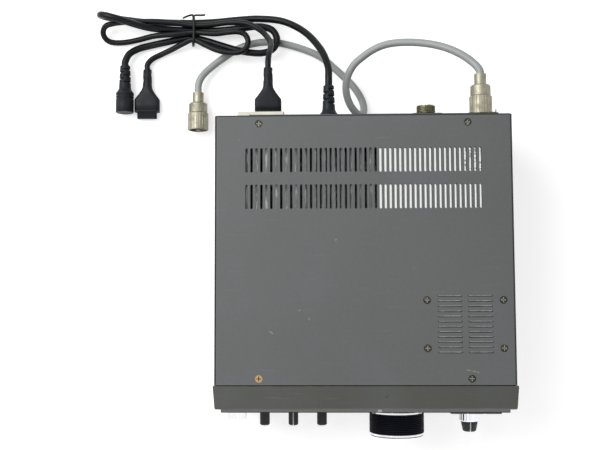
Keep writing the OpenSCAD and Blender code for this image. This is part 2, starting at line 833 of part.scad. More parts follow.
// Meter movement's box, open at the front, with the pin that carries the needle
module meter_case() {
  color("ivory") union() {
    difference() {
      round_bar(meter_x, meter_z, meter_w + 2 * case_lip, meter_h + 2 * case_lip, window_r,
                panel_back, board_gap);
      round_bar(meter_x, meter_z, meter_w, meter_h, window_r, panel_back - cut, board_gap - meter_floor + cut);
    }
    rod(meter_x, panel_back + needle_y, needle_z, needle_pin_r, board_gap - meter_floor / 2 - needle_y);
  }
}

// Needle at its zero mark, leaning to the left
module meter_needle() {
  color("firebrick") difference() {
    union() {
      rod(meter_x, panel_back + needle_y, needle_z, needle_hub_r, needle_hub_l);
      translate([meter_x, panel_back + needle_y, needle_z]) rotate([0, -needle_rest, 0])
        translate([-needle_t / 2, 0, 0]) cube([needle_t, needle_t, needle_l]);
    }
    rod(meter_x, panel_back + needle_y - cut, needle_z, needle_pin_r + fit, needle_hub_l + 2 * cut);
  }
}

// Main board under the deck and the board behind the front panel
module circuit_boards() {
  color("darkgreen") {
    box([-board_x, board_front, main_board_z], [board_x, deck_back - post_in, main_board_z + board_t]);
    box([-panel_w / 2 + board_in, board_y, panel_bottom + board_in],
        [panel_w / 2 - board_in, board_y + board_t, panel_top - board_in]);
  }
}

// Finned heat sink under the left part of the vents, one fin under every second slot
module heat_sink() {
  right = vent_x + (sink_slots - 1) * vent_pitch + sink_lip;
  color("gray") union() {
    box([vent_x - sink_lip, sink_front, deck_z + chassis_t],
        [right, sink_back, deck_z + chassis_t + sink_base]);
    for (i = [0:2:sink_slots - 1])
      translate([vent_x + i * vent_pitch - fin_t / 2, sink_front, deck_z + chassis_t])
        cube([fin_t, sink_back - sink_front, inner_top - sink_gap - deck_z - chassis_t]);
  }
}

// Bright plated can over the filter section, under the right part of the vents
module shield_can() {
  left = vent_x + (sink_slots - 1) * vent_pitch + sink_lip + can_gap;
  right = vent_x + (vent_count - 1) * vent_pitch + sink_lip;
  high = inner_top - can_drop;
  color("gainsboro") difference() {
    box([left, sink_front, deck_z + chassis_t], [right, sink_back, high]);
    box([left + can_t, sink_front + can_t, deck_z + chassis_t - cut],
        [right - can_t, sink_back - can_t, high - can_t]);
  }
}

// Loudspeaker under the grille: frame, basket and magnet
module speaker() {
  color("darkslategray") difference() {
    union() {
      box([speaker_x - speaker_w / 2, speaker_y - speaker_l / 2, inner_top - speaker_t],
          [speaker_x + speaker_w / 2, speaker_y + speaker_l / 2, inner_top]);
      translate([speaker_x, speaker_y, inner_top - speaker_t - basket_h])
        cylinder(h = basket_h, r1 = basket_neck_r, r2 = speaker_r + basket_t);
      translate([speaker_x, speaker_y, inner_top - speaker_t - basket_h - magnet_h])
        cylinder(h = magnet_h, r = magnet_r);
    }
    translate([speaker_x, speaker_y, inner_top - speaker_t - basket_h])
      cylinder(h = basket_h, r1 = basket_neck_r - basket_t, r2 = speaker_r);
    translate([speaker_x, speaker_y, inner_top - speaker_t - fit]) cylinder(h = speaker_t + cut, r = speaker_r);
    at_speaker_screws() screw_hole();
  }
}

// Paper cone with its dust cap
module speaker_cone() {
  rim = speaker_r - fit;
  color("black") translate([speaker_x, speaker_y, inner_top - cone_t]) rotate_extrude()
    polygon([[0, cone_t - cone_deep], [cone_neck_r, -cone_deep], [rim, -cone_t], [rim, 0],
             [cone_neck_r, cone_t - cone_deep], [0, cone_t + cone_cap_h - cone_deep]]);
}

// Round screw-on antenna sockets with square flanges
module antenna_sockets() {
  barrel_y = rear_face + socket_flange_t;
  thread_l = (socket_tip - barrel_y) / thread_count;
  color([0.55, 0.53, 0.45]) for (x = [antenna_x, spare_x]) difference() {
    union() {
      round_bar(x, socket_z, socket_flange, socket_flange, socket_corner, rear_face, socket_flange_t);
      turned(x, socket_z, concat([[0, barrel_y - fit]],
        [for (i = [0:thread_count - 1], s = thread_profile)
          [socket_r - s[1], barrel_y - fit + (i + s[0]) * thread_l]],
        [[socket_r - thread_h, socket_tip], [0, socket_tip]]));
      rod(x, rear_y - socket_stub_l, socket_z, socket_stub_r, socket_stub_l + rear_t + fit);
    }
    turned(x, socket_z, [[socket_pin_r, socket_tip + cut], [socket_r - socket_wall, socket_tip + cut],
      [socket_r - socket_wall, socket_tip - dielectric_in], [socket_pin_r, socket_tip - dielectric_in]]);
    rod(x, socket_tip - socket_pin_l, socket_z, socket_pin_r + fit, socket_pin_l + cut);
    for (i = [0:notch_count - 1])
      translate([x, socket_tip, socket_z]) rotate([0, 360 * i / notch_count, 0])
        translate([socket_r - socket_wall - notch_w, -notch_deep, -notch_w / 2])
          cube([socket_wall + notch_w + cut, notch_deep + cut, notch_w]);
  }
}

// Pale flat socket for the data plug
module data_socket() {
  color("ivory") difference() {
    round_bar(data_x, jack_z, data_w, data_h, socket_corner, rear_y - data_reach, 2 * data_reach + rear_t);
    round_bar(data_plug_x, jack_z, tongue_w + 2 * slip, tongue_t + 2 * slip, slip,
              rear_face + data_reach - tongue_l - slip, tongue_l + slip + cut);
  }
}

// Round recessed accessory socket
module accessory_socket() {
  cup_y = control_near[1] - slip - cup_floor;
  color([0.2, 0.2, 0.2]) turned(round_jack_x, jack_z, [[0, cup_y], [jack_r, cup_y], [jack_r, rear_face],
    [jack_r + cup_lip, rear_face], [jack_r + cup_lip, rear_face + cup_lip],
    [control_body_r + slip, rear_face + cup_lip], [control_body_r + slip, cup_y + cup_floor],
    [0, cup_y + cup_floor]]);
}

// Power inlet with six contact holes
module power_inlet() {
  color("whitesmoke") difference() {
    round_bar(inlet_x, inlet_z, inlet_w, inlet_h, socket_corner, rear_y - inlet_l,
              inlet_l + rear_t + inlet_reach);
    for (ix = [-1, 0, 1], iz = [-1, 1])
      round_bar(inlet_x + ix * inlet_pitch, inlet_z + iz * inlet_pitch / 2, inlet_hole, inlet_hole,
                inlet_hole_r, rear_face + inlet_reach - inlet_l, inlet_l + cut);
  }
}

// Ground post with its thumb nut
module ground_terminal() {
  nut_y = rear_face + nut_stand;
  nut_end = nut_y + nut_l;
  color("silver") turned(ground_x, ground_z, [[0, rear_y - ground_head], [ground_head_r, rear_y - ground_head],
    [ground_head_r, rear_y], [ground_r, rear_y], [ground_r, nut_y], [nut_r - nut_edge, nut_y],
    [nut_r, nut_y + nut_edge], [nut_r, nut_end - nut_edge], [nut_r - nut_edge, nut_end],
    [ground_r, nut_end], [ground_r, nut_end + ground_end], [0, nut_end + ground_end]]);
}

// Round microphone socket with its pins
module mic_socket() {
  front = face_y - mic_reach;
  floor_y = face_y - mic_floor;
  nut_y = face_y - mic_wall;
  color("silver") union() {
    turned(mic_x, mic_z, [[0, floor_y], [mic_bore_r, floor_y], [mic_bore_r, front],
      [mic_bore_r + mic_wall, front], [mic_bore_r + mic_wall, nut_y], [mic_r + mic_wall, nut_y],
      [mic_r + mic_wall, face_y], [mic_r, face_y], [mic_r, board_y], [0, board_y]]);
    flutes(mic_x, front + mic_floor, mic_z, mic_pin_ring, mic_pin_r, mic_reach - mic_floor, mic_pins);
  }
}

// Headphone jack with its ring nut
module phones_jack() {
  front = face_y - phones_reach;
  nut_y = face_y - phones_nut;
  color("silver") turned(phones_x, phones_z, [[phones_bore_r, front], [phones_r, front], [phones_r, nut_y],
    [phones_r + phones_nut, nut_y], [phones_r + phones_nut, face_y], [phones_r, face_y], [phones_r, board_y],
    [phones_bore_r, board_y]]);
}

// Front feet that carry the bail, and round back feet
module feet() {
  color([0.12, 0.12, 0.12]) {
    for (s = [-1, 1]) difference() {
      translate([s * foot_x, foot_front, 0]) linear_extrude(foot_h) round_rect(foot_w, foot_l, foot_r);
      translate([s * (foot_x - foot_w / 2 - cut), foot_front, bail_z]) rotate([0, s * 90, 0])
        cylinder(h = bail_grip + cut + touch_gap, r = bail_r + fit);
    }
    for (s = [-1, 1]) translate([s * foot_x, foot_back, 0]) cylinder(h = foot_h, r = foot_l / 2);
  }
}

// Wire bail folded flat under the case
module tilt_bail() {
  pin_l = foot_x - foot_w / 2 + bail_grip - bail_x;
  color("silver") union() {
    for (s = [-1, 1]) {
      translate([s * bail_x, foot_front, bail_z]) rotate([0, s * 90, 0]) cylinder(h = pin_l, r = bail_r);
      translate([s * bail_x, foot_front, bail_z]) sphere(r = bail_r);
      rod(s * bail_x, foot_front, bail_z, bail_r, bail_l);
      translate([s * bail_x, foot_front + bail_l, bail_z]) sphere(r = bail_r);
    }
    translate([-bail_x, foot_front + bail_l, bail_z]) rotate([0, 90, 0]) cylinder(h = 2 * bail_x, r = bail_r);
  }
}

// Dark screws of the covers and the speaker
module screws() {
  color([0.2, 0.2, 0.2]) {
    at_cover_screws(ys = [back_y - screw_rear]) screw();
    at_cover_screws(xs = [screw_x], ys = [cover_y + screw_front]) screw();
    at_speaker_screws() screw();
    at_base_screws() screw();
  }
}

// The one cover screw of brass, at the front left
module brass_screw() {
  color("goldenrod") at_cover_screws(xs = [-screw_x], ys = [cover_y + screw_front]) screw();
}

// Control body behind the panel with a bush through it and a bore for the shaft
module control_body(x, z, body_r, bush_r, bore_r) {
  difference() {
    union() {
      rod(x, panel_back, z, body_r, board_gap);
      rod(x, face_y, z, bush_r, panel_t + fit);
    }
    rod(x, face_y - cut, z, bore_r + fit, panel_t + stem_depth + touch_gap + cut);
  }
}

// Encoder that the dial turns
module tuning_encoder() {
  color("gray") control_body(dial_x, dial_z, encoder_r, dial_bush_r, dial_shaft_r);
}

// Shaft between the encoder and the dial
module tuning_shaft() {
  start = dial_bore_y + slip;
  color("silver") rod(dial_x, start, dial_z, dial_shaft_r, panel_back + stem_depth - start);
}

// Metal dial body: skirt, flange, core and cap with a finger dimple
module tuning_knob() {
  cap_r = dial_d / 2 - dial_cap_in;
  flange_r = dial_d / 2 - dial_flange_in;
  rim_r = cap_r - dial_rim_edge;
  bore = dial_shaft_r + fit / 2;
  face = dial_front + dial_face_in;
  color("lightgray") difference() {
    turned(dial_x, dial_z, [[0, face], [rim_r - dial_rim_w - dial_rim_slope, face],
      [rim_r - dial_rim_w, dial_front], [rim_r, dial_front], [cap_r, dial_front + dial_rim_edge],
      [cap_r, grip_front], [dial_core_r, grip_front], [dial_core_r, grip_back], [flange_r, grip_back],
      [flange_r, grip_back + dial_flange_t], [dial_skirt_r, grip_back + dial_flange_t],
      [dial_skirt_r, dial_back], [bore, dial_back], [bore, dial_bore_y], [0, dial_bore_y]]);
    translate([dial_x - dimple_in, face - dimple_r + dimple_deep, dial_z + dimple_in]) sphere(r = dimple_r);
  }
}

// Rubber grip round the dial, with ridges
module tuning_grip() {
  step = dial_grip_l / dial_ridges;
  color([0.06, 0.06, 0.08]) turned(dial_x, dial_z, concat(
    [[dial_core_r + fit, grip_front + fit]],
    [for (i = [0:dial_ridges - 1], s = ridge_profile) [dial_d / 2 - s[1], grip_front + (i + s[0]) * step]],
    [[dial_core_r + fit, grip_back - fit]]));
}

// Potentiometers behind the three level knobs
module level_pots() {
  color("gray") for (i = [0:2])
    control_body(level_x + i * level_pitch, level_z, level_pot_r, level_bush_r, level_stem_r);
}

// Small fluted knob moulded with its stem
module level_knob(i) {
  x = level_x + i * level_pitch;
  front = face_y - knob_stand - level_l;
  r = level_d / 2;
  color([0.24, 0.25, 0.25]) union() {
    difference() {
      turned(x, level_z, [[0, front], [r - knob_edge, front], [r, front + knob_edge], [r, face_y - knob_stand],
                          [0, face_y - knob_stand]]);
      flutes(x, front - cut, level_z, r + flute_out, flute_r, level_l + 2 * cut, level_flutes);
    }
    rod(x, face_y - knob_stand - fit, level_z, level_stem_r, panel_t + stem_depth + knob_stand + fit);
  }
}

module level_knob_left() {
  level_knob(0);
}

module level_knob_middle() {
  level_knob(1);
}

module level_knob_right() {
  level_knob(2);
}

// Double potentiometer behind the gain knobs
module gain_pot() {
  color("gray") control_body(gain_x, gain_z, gain_pot_r, gain_bush_r, gain_sleeve_r);
}

// Hollow shaft of the outer gain knob
module gain_sleeve() {
  color("silver") difference() {
    rod(gain_x, gain_front + skirt_floor, gain_z, gain_sleeve_r,
        panel_back + stem_depth - gain_front - skirt_floor);
    rod(gain_x, gain_front, gain_z, gain_spindle_r + fit, panel_back + stem_depth - gain_front + cut);
  }
}

// Inner shaft of the inner gain knob
module gain_spindle() {
  start = gain_front - touch_gap - spindle_in;
  color("silver") rod(gain_x, start, gain_z, gain_spindle_r, panel_back + stem_depth - start);
}

// Outer gain knob, plated and fluted
module gain_skirt() {
  r = gain_d / 2;
  color("whitesmoke") difference() {
    turned(gain_x, gain_z, [[gain_spindle_r + touch_gap, gain_front], [r - knob_edge, gain_front],
      [r, gain_front + knob_edge], [r, face_y - knob_stand], [gain_sleeve_r + fit / 2, face_y - knob_stand],
      [gain_sleeve_r + fit / 2, gain_front + skirt_floor],
      [gain_spindle_r + touch_gap, gain_front + skirt_floor]]);
    flutes(gain_x, gain_front - cut, gain_z, r + flute_r, 2 * flute_r, gain_l + 2 * cut, gain_flutes);
  }
}

// Inner gain knob, tapered and fluted
module gain_knob() {
  back = gain_front - touch_gap;
  front = back - gain_top_l;
  r = gain_top_d / 2;
  tip_r = r - gain_top_taper;
  bore = gain_spindle_r + fit / 2;
  deep = back - spindle_in - fit;
  color([0.1, 0.1, 0.1]) difference() {
    turned(gain_x, gain_z, [[0, front], [tip_r - knob_edge, front], [tip_r, front + knob_edge],
      [r, back - gain_top_band], [r, back], [bore, back], [bore, deep], [0, deep]]);
    flutes(gain_x, front - cut, gain_z, r + flute_out / 2, flute_r, gain_top_l + 2 * cut, gain_flutes);
  }
}

// Plunger switch behind the power button
module power_switch() {
  front = panel_back + touch_gap + button_flange_t + power_travel + touch_gap;
  color("dimgray") round_bar(power_x, power_z, power_w, power_h, button_r, front, board_y - front);
}

// Push button with a flange that keeps it behind the panel
module push_button(x, z, w, h, reach, flange_t) {
  round_bar(x, z, w, h, button_r, face_y - reach, reach + panel_t + touch_gap + flange_t);
  round_bar(x, z, w, h + 2 * key_flange, button_r, panel_back + touch_gap, flange_t);
}

module power_button() {
  color("whitesmoke") push_button(power_x, power_z, power_w, power_h, power_reach, button_flange_t);
}

// Rubber mats that the keys press on
module key_mats() {
  front = panel_back + touch_gap + key_flange_t + key_travel + touch_gap;
  color([0.3, 0.3, 0.3]) {
    round_bar(key_start_x + key_pitch, key_z, 2 * key_pitch + key_w, key_h + 2 * key_flange, button_r,
              front, board_y - front);
    round_bar(mode_key_x + 1.5 * mode_key_pitch, mode_key_z, 3 * mode_key_pitch + key_w,
              mode_key_h + 2 * key_flange, button_r, front, board_y - front);
  }
}

// One key, by its place in the list of keys
module key(i) {
  color([0.33, 0.34, 0.34]) push_button(keys[i][0], keys[i][1], key_w, keys[i][2], key_proud, key_flange_t);
}

module key_left() {
  key(0);
}

module key_middle() {
  key(1);
}

module key_right() {
  key(2);
}

module mode_key_1() {
  key(3);
}

module mode_key_2() {
  key(4);
}

module mode_key_3() {
  key(5);
}

module mode_key_4() {
  key(6);
}

// Point on a smooth curve through the route, between points i and i + 1
function curve_at(p, i, t) =
  let (last = len(p) - 1, a = p[max(i - 1, 0)], b = p[i], c = p[i + 1], d = p[min(i + 2, last)])
  0.5 * (2 * b + (c - a) * t + (2 * a - 5 * b + 4 * c - d) * t * t + (3 * b - a - 3 * c + d) * t * t * t);

// The route's points with more of them between each pair
function smooth(p, steps) = concat(
  [for (i = [0:len(p) - 2], s = [0:steps - 1]) curve_at(p, i, s / steps)], [p[len(p) - 1]]);

function unit(v) = v / norm(v);

// Direction of the route at point i
function heading(p, i) = unit(p[min(i + 1, len(p) - 1)] - p[max(i - 1, 0)]);

// Ring of points round the route at point i, set out from a direction that the route never takes
function ring_at(p, i, r, sides, aside) =
  let (t = heading(p, i), side = unit(cross(t, aside)), up = cross(side, t))
  [for (k = [0:sides - 1]) p[i] + r * (cos(360 * k / sides) * side + sin(360 * k / sides) * up)];

// Least gap of a route to itself, leaving out points closer along it than a turn
function own_gap(p, d, skip) =
  min([for (i = [0:len(p) - 1]) for (j = [i + skip:1:len(p) - 1]) norm(p[i] - p[j])]) - d;

// Tube along a route, closed at both ends
module tube(route, d, sides, aside) {
  p = smooth(route, samples);
  n = len(p);
  points = [for (i = [0:n - 1]) each ring_at(p, i, d / 2, sides, aside)];
  walls = [for (i = [0:n - 2], k = [0:sides - 1])
    let (a = i * sides + k, b = i * sides + (k + 1) % sides)
    each [[a, b, b + sides], [a, b + sides, a + sides]]];
  ends = [for (k = [1:sides - 2])
    each [[0, k + 1, k], [(n - 1) * sides, (n - 1) * sides + k, (n - 1) * sides + k + 1]]];
  polyhedron(points = points, faces = concat(walls, ends));
}

gap_steps = 6;
gap_skip = 24;
echo(coax_gap = own_gap(smooth(coax_path, gap_steps), coax_d, gap_skip));
echo(control_gap = own_gap(smooth(control_path, gap_steps), control_d, gap_skip));
echo(data_gap = own_gap(smooth(data_path, gap_steps), data_d, gap_skip));

// Grey coaxial cable
module coax_cable() {
  color([0.7, 0.72, 0.72]) tube(coax_path, coax_d, coax_sides, upward);
}

// Black control cable
module control_cable() {
  color([0.15, 0.16, 0.17]) tube(control_path, control_d, thin_sides, slantwise);
}

// Black data cable
module data_cable() {
  color([0.15, 0.16, 0.17]) tube(data_path, data_d, thin_sides, upward);
}

// Bodies of the two coaxial plugs: pin, nose, collar and cable sleeve
module coax_plugs() {
  color([0.72, 0.7, 0.62]) for (at = [coax_near, coax_far]) translate(at)
    turned(0, 0, [[0, ring_front], [socket_pin_r - fit, ring_front], [socket_pin_r - fit, touch_gap],
      [nose_r, touch_gap], [nose_r, plug_nose_l + touch_gap], [collar_r, plug_nose_l + touch_gap],
      [collar_r, plug_body_l - collar_edge], [collar_r - collar_edge, plug_body_l],
      [plug_sleeve_r, plug_body_l], [plug_sleeve_r, plug_l], [0, plug_l]]);
}

// Knurled coupling ring of a coaxial plug
module coax_ring(at) {
  inner = socket_r + slip;
  color([0.7, 0.68, 0.6]) translate(at) difference() {
    turned(0, 0, [[inner, ring_front], [ring_r - ring_edge, ring_front], [ring_r, ring_front + ring_edge],
      [ring_r, plug_nose_l - ring_edge], [ring_r - ring_edge, plug_nose_l], [nose_r + ring_gap, plug_nose_l],
      [nose_r + ring_gap, plug_nose_l - ring_lip], [inner, plug_nose_l - ring_lip]]);
    flutes(0, ring_front - cut, 0, ring_r + flute_out, flute_r, plug_nose_l - ring_front + 2 * cut,
           ring_flutes);
  }
}

module coax_ring_near() {
  coax_ring(coax_near);
}

module coax_ring_far() {
  coax_ring(coax_far);
}

// Round control plugs with ribbed strain reliefs
module control_plugs() {
  step = (control_l - relief_end - relief_start) / relief_ribs;
  color([0.13, 0.15, 0.17]) for (at = [control_near, control_far]) translate(at)
    turned(0, 0, concat([[0, 0], [control_body_r, 0], [control_body_r, control_body_l],
      [control_body_r - control_edge, control_body_l + control_edge]],
      [for (k = [0:bell_steps - 1]) let (t = k / bell_steps)
        [relief_r + (bell_r - relief_r) * (1 - t) * (1 - t), bell_start + (relief_start - bell_start) * t]],
      [for (i = [0:relief_ribs - 1], s = rib_profile)
        [relief_r - relief_taper * i - relief_groove * s[1], relief_start + (i + s[0]) * step]],
      [[relief_r - relief_collar, control_l], [0, control_l]]));
}

// Flat data plugs: shoulders, neck and the tongue that goes into the socket
module data_plugs() {
  half = data_plug_w / 2;
  thick = data_plug_t / 2;
  neck_root = data_neck + data_neck_slope;
  color([0.13, 0.15, 0.17]) for (at = [data_near, data_far]) translate(at) union() {
    intersection() {
      translate([0, 0, -thick - cut]) linear_extrude(data_plug_t + 2 * cut)
        polygon([[-half, 0], [half, 0], [half, data_shoulder], [neck_root, data_waist],
                 [data_neck, data_plug_l], [-data_neck, data_plug_l], [-neck_root, data_waist],
                 [-half, data_shoulder]]);
      translate([-half - cut, 0, 0]) rotate([90, 0, 90]) linear_extrude(data_plug_w + 2 * cut)
        polygon([[0, -thick], [data_shoulder, -thick], [data_waist, -data_neck], [data_plug_l, -data_neck],
                 [data_plug_l, data_neck], [data_waist, data_neck], [data_shoulder, thick], [0, thick]]);
    }
    round_bar(0, 0, tongue_w, tongue_t, socket_corner, -tongue_l, tongue_l + fit);
  }
}

// Twist tie round the folded cables, with its two twisted ends
module cable_tie() {
  mid_y = (tie_y[0] + tie_y[1]) / 2;
  mid_z = (tie_z[0] + tie_z[1]) / 2;
  loop_w = tie_y[1] - tie_y[0];
  loop_h = tie_z[1] - tie_z[0];
  color([0.1, 0.1, 0.1]) union() {
    translate([tie_x - tie_w / 2, mid_y, mid_z]) rotate([90, 0, 90]) linear_extrude(tie_w) difference() {
      round_rect(loop_w, loop_h, loop_h / 2 - tie_t);
      round_rect(loop_w - 2 * tie_t, loop_h - 2 * tie_t, loop_h / 2 - 2 * tie_t);
    }
    for (s = [-1, 1])
      translate([tie_x, tie_y[1] - 2 * tie_t, mid_z + tie_t]) rotate([tie_lean, 0, s * tie_spread])
        cylinder(h = tie_tail, r = tie_t);
  }
}

top_cover();
bottom_cover();
chassis();
rear_panel();
front_bezel();
front_panel();
windows();
display_module();
meter_case();
meter_needle();
circuit_boards();
heat_sink();
shield_can();
speaker();
speaker_cone();
antenna_sockets();
data_socket();
accessory_socket();
power_inlet();
ground_terminal();
mic_socket();
phones_jack();
feet();
tilt_bail();
screws();
brass_screw();
tuning_encoder();
tuning_shaft();
tuning_knob();
tuning_grip();
level_pots();
level_knob_left();
level_knob_middle();
level_knob_right();
gain_pot();
gain_sleeve();
gain_spindle();
gain_skirt();
gain_knob();
power_switch();
power_button();
key_mats();
key_left();
key_middle();
key_right();
mode_key_1();
mode_key_2();
mode_key_3();
mode_key_4();
coax_cable();
coax_plugs();
coax_ring_near();
coax_ring_far();
control_cable();
control_plugs();
data_cable();
data_plugs();
cable_tie();
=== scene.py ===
import json
import math

import bmesh
import bpy
from mathutils import Matrix, Vector


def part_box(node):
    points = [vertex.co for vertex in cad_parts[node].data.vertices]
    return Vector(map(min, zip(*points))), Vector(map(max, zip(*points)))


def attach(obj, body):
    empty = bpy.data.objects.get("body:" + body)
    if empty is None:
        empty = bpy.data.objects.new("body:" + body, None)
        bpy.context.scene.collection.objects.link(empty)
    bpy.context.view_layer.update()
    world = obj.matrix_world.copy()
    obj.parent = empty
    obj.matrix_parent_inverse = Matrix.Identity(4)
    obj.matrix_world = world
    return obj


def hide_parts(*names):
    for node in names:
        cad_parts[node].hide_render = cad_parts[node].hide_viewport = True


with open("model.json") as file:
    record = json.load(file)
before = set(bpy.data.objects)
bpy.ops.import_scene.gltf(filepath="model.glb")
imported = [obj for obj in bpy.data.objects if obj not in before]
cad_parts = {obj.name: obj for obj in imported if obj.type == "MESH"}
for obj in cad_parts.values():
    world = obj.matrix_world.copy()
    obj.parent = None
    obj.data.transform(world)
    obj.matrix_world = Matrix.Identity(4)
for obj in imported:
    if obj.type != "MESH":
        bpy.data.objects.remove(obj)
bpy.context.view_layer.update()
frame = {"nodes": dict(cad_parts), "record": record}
nodes = frame["nodes"]
scene = bpy.context.scene
scene.view_settings.view_transform = "Standard"

MM = 0.001
TAU = 2 * math.pi


def mm(*values):
    """A point or size in metres from millimetres."""
    return Vector([value * MM for value in values])


def box_mm(node):
    """Lowest and highest corners of a CAD node, in millimetres."""
    low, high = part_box(node)
    return low / MM, high / MM


def middle(node):
    """Centre of a CAD node's box, in millimetres."""
    low, high = box_mm(node)
    return (low + high) / 2


# Camera at the photograph's place, for an image of 600 by 450
CAMERA_LENS = 54
CAMERA_SENSOR = 36
CAMERA_AT = (-0.032668, -0.017104, 0.822516)
CAMERA_TURN = (0.0754643, 0.0263794, -0.00354)


def make_camera():
    data = bpy.data.cameras.new("photo_camera")
    data.sensor_width = CAMERA_SENSOR
    data.lens = CAMERA_LENS
    camera = bpy.data.objects.new("photo_camera", data)
    camera.location = CAMERA_AT
    camera.rotation_euler = CAMERA_TURN
    scene.collection.objects.link(camera)
    scene.camera = camera


make_camera()


# Colours and materials
def srgb(red, green, blue):
    """Linear colour of an sRGB colour whose channels run from 0 to 255."""
    def linear(channel):
        value = channel / 255
        return value / 12.92 if value <= 0.04045 else ((value + 0.055) / 1.055) ** 2.4
    return (linear(red), linear(green), linear(blue), 1)


class Look:
    """A material built up layer by layer, in the part's own coordinates in metres."""

    def __init__(self, name, color, roughness, metallic=0.0, **sockets):
        self.material = bpy.data.materials.new(name)
        self.material.use_nodes = True
        self.tree = self.material.node_tree
        self.shader = self.tree.nodes["Principled BSDF"]
        self.place = self.add("TexCoord").outputs["Object"]
        self.color = color
        self.normal = None
        self.put(self.shader, "Base Color", color)
        self.put(self.shader, "Roughness", roughness)
        self.put(self.shader, "Metallic", metallic)
        for socket, value in sockets.items():
            self.put(self.shader, socket.replace("_", " "), value)

    def put(self, node, socket, value):
        """Sets a socket to a value, or links another node's output to it."""
        if isinstance(value, bpy.types.NodeSocket):
            self.tree.links.new(value, node.inputs[socket])
        else:
            node.inputs[socket].default_value = value

    def add(self, kind, sockets=None, **settings):
        node = self.tree.nodes.new("ShaderNode" + kind)
        for name, value in settings.items():
            setattr(node, name, value)
        for socket, value in (sockets or {}).items():
            self.put(node, socket, value)
        return node

    def noise(self, scale, detail=2.0, stretch=None):
        """Noise with so many cells to the metre, stretched along the axes if wanted."""
        place = self.place
        if stretch:
            place = self.add("Mapping", {"Vector": place, "Scale": stretch}).outputs["Vector"]
        node = self.add("TexNoise", {"Vector": place, "Scale": scale, "Detail": detail})
        return node.outputs["Fac"]

    def between(self, value, low, high, start=0.0, end=1.0):
        """The value carried over from one range to another, and held at its ends."""
        sockets = {"Value": value, "From Min": low, "From Max": high, "To Min": start, "To Max": end}
        return self.add("MapRange", sockets).outputs["Result"]

    def math(self, operation, first, second):
        return self.add("Math", {0: first, 1: second}, operation=operation).outputs[0]

    def both(self, first, second):
        return self.math("MULTIPLY", first, second)

    def axis(self, letter, vector=None):
        return self.add("SeparateXYZ", {"Vector": vector or self.place}).outputs[letter]

    def spot(self, place, size, turn=0.0):
        """1 inside an ellipsoid, turned about the upright axis, fading to 0 at its skin."""
        sockets = {"Vector": self.place, "Location": place, "Rotation": (0, 0, turn), "Scale": size}
        node = self.add("Mapping", sockets, vector_type="TEXTURE")
        length = self.add("VectorMath", {0: node.outputs["Vector"]}, operation="LENGTH")
        return self.between(length.outputs["Value"], 1.0, 0.55)

    def edges(self, radius):
        """1 along the edges of the piece, out to about the radius."""
        rounded = self.add("Bevel", {"Radius": radius}, samples=4).outputs["Normal"]
        flat = self.add("NewGeometry").outputs["Normal"]
        node = self.add("VectorMath", {0: rounded, 1: flat}, operation="DOT_PRODUCT")
        return self.between(node.outputs["Value"], 0.99, 0.86)

    def cavity(self, distance, rim=0.72):
        """1 deep in a recess of the piece and 0 in the open."""
        node = self.add("AmbientOcclusion", {"Distance": distance}, samples=6, only_local=True)
        return self.between(node.outputs["AO"], rim, rim - 0.3)

    def paint(self, mask, color):
        """Lays another colour over the present one where the mask is 1."""
        node = self.add("Mix", {0: mask, 6: self.color, 7: color}, data_type="RGBA")
        self.color = node.outputs[2]
        self.put(self.shader, "Base Color", self.color)

    def shade(self, value, low, high):
        """Multiplies the present colour by a factor that follows the value."""
        factor = self.between(value, 0.3, 0.7, low, high)
        node = self.add("Mix", {0: 1.0, 6: self.color, 7: factor}, data_type="RGBA", blend_type="MULTIPLY")
        self.color = node.outputs[2]
        self.put(self.shader, "Base Color", self.color)

    def rough(self, value, low, high):
        self.put(self.shader, "Roughness", self.between(value, 0.3, 0.7, low, high))

    def soften(self, radius):
        """Rounds the shading of sharp edges."""
        self.normal = self.add("Bevel", {"Radius": radius}, samples=4).outputs["Normal"]
        self.put(self.shader, "Normal", self.normal)

    def bump(self, height, depth):
        sockets = {"Height": height, "Distance": depth, "Strength": 1.0}
        if self.normal:
            sockets["Normal"] = self.normal
        self.normal = self.add("Bump", sockets).outputs["Normal"]
        self.put(self.shader, "Normal", self.normal)


def painted_sheet(name, color, roughness=0.55):
    """Sprayed steel sheet: faint clouds of tint, orange peel, rubs and worn edges."""
    look = Look(name, color, roughness, Specular_IOR_Level=0.3)
    look.soften(0.35 * MM)
    clouds = look.noise(11, 3)
    look.shade(clouds, 0.96, 1.04)
    look.paint(look.between(look.noise(17, 2), 0.5, 0.75, 0, 0.14), srgb(112, 116, 132))
    look.shade(look.noise(330, 4), 0.97, 1.03)
    look.rough(clouds, roughness - 0.06, roughness + 0.08)
    look.bump(look.noise(1700, 2), 0.03 * MM)
    rubs = look.between(look.noise(34, 7, stretch=(1, 17, 1)), 0.66, 0.72, 0, 0.14)
    look.paint(rubs, srgb(146, 147, 146))
    worn = look.both(look.edges(0.5 * MM), look.between(look.noise(120, 4), 0.45, 0.68, 0, 0.7))
    look.paint(worn, srgb(150, 149, 143))
    return look


# Spots where paint is chipped or rubbed: x, y, half length and half width in millimetres, turn in degrees
COVER_SPOTS = [(-22.6, 25.8, 0.7, 0.5, 20), (-75.5, -48.4, 1.6, 0.35, -35), (-74.4, -49.4, 0.6, 0.5, 0),
               (82.6, -79.0, 2.6, 0.28, -12), (87.4, -79.9, 3.1, 0.3, -14), (90.4, -80.8, 0.7, 0.5, 0),
               (40.2, 2.5, 0.4, 0.3, 0), (-52.4, -31.0, 1.4, 0.25, 15), (-44.6, -38.0, 0.3, 1.2, 10),
               (-101.5, 108.3, 0.4, 0.3, 0)]
BEZEL_SPOTS = [(16.7, -100.3, 0.6, 0.6, 0), (18.2, -98.6, 0.9, 0.25, 45)]
COVER_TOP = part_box("top_cover")[1].z


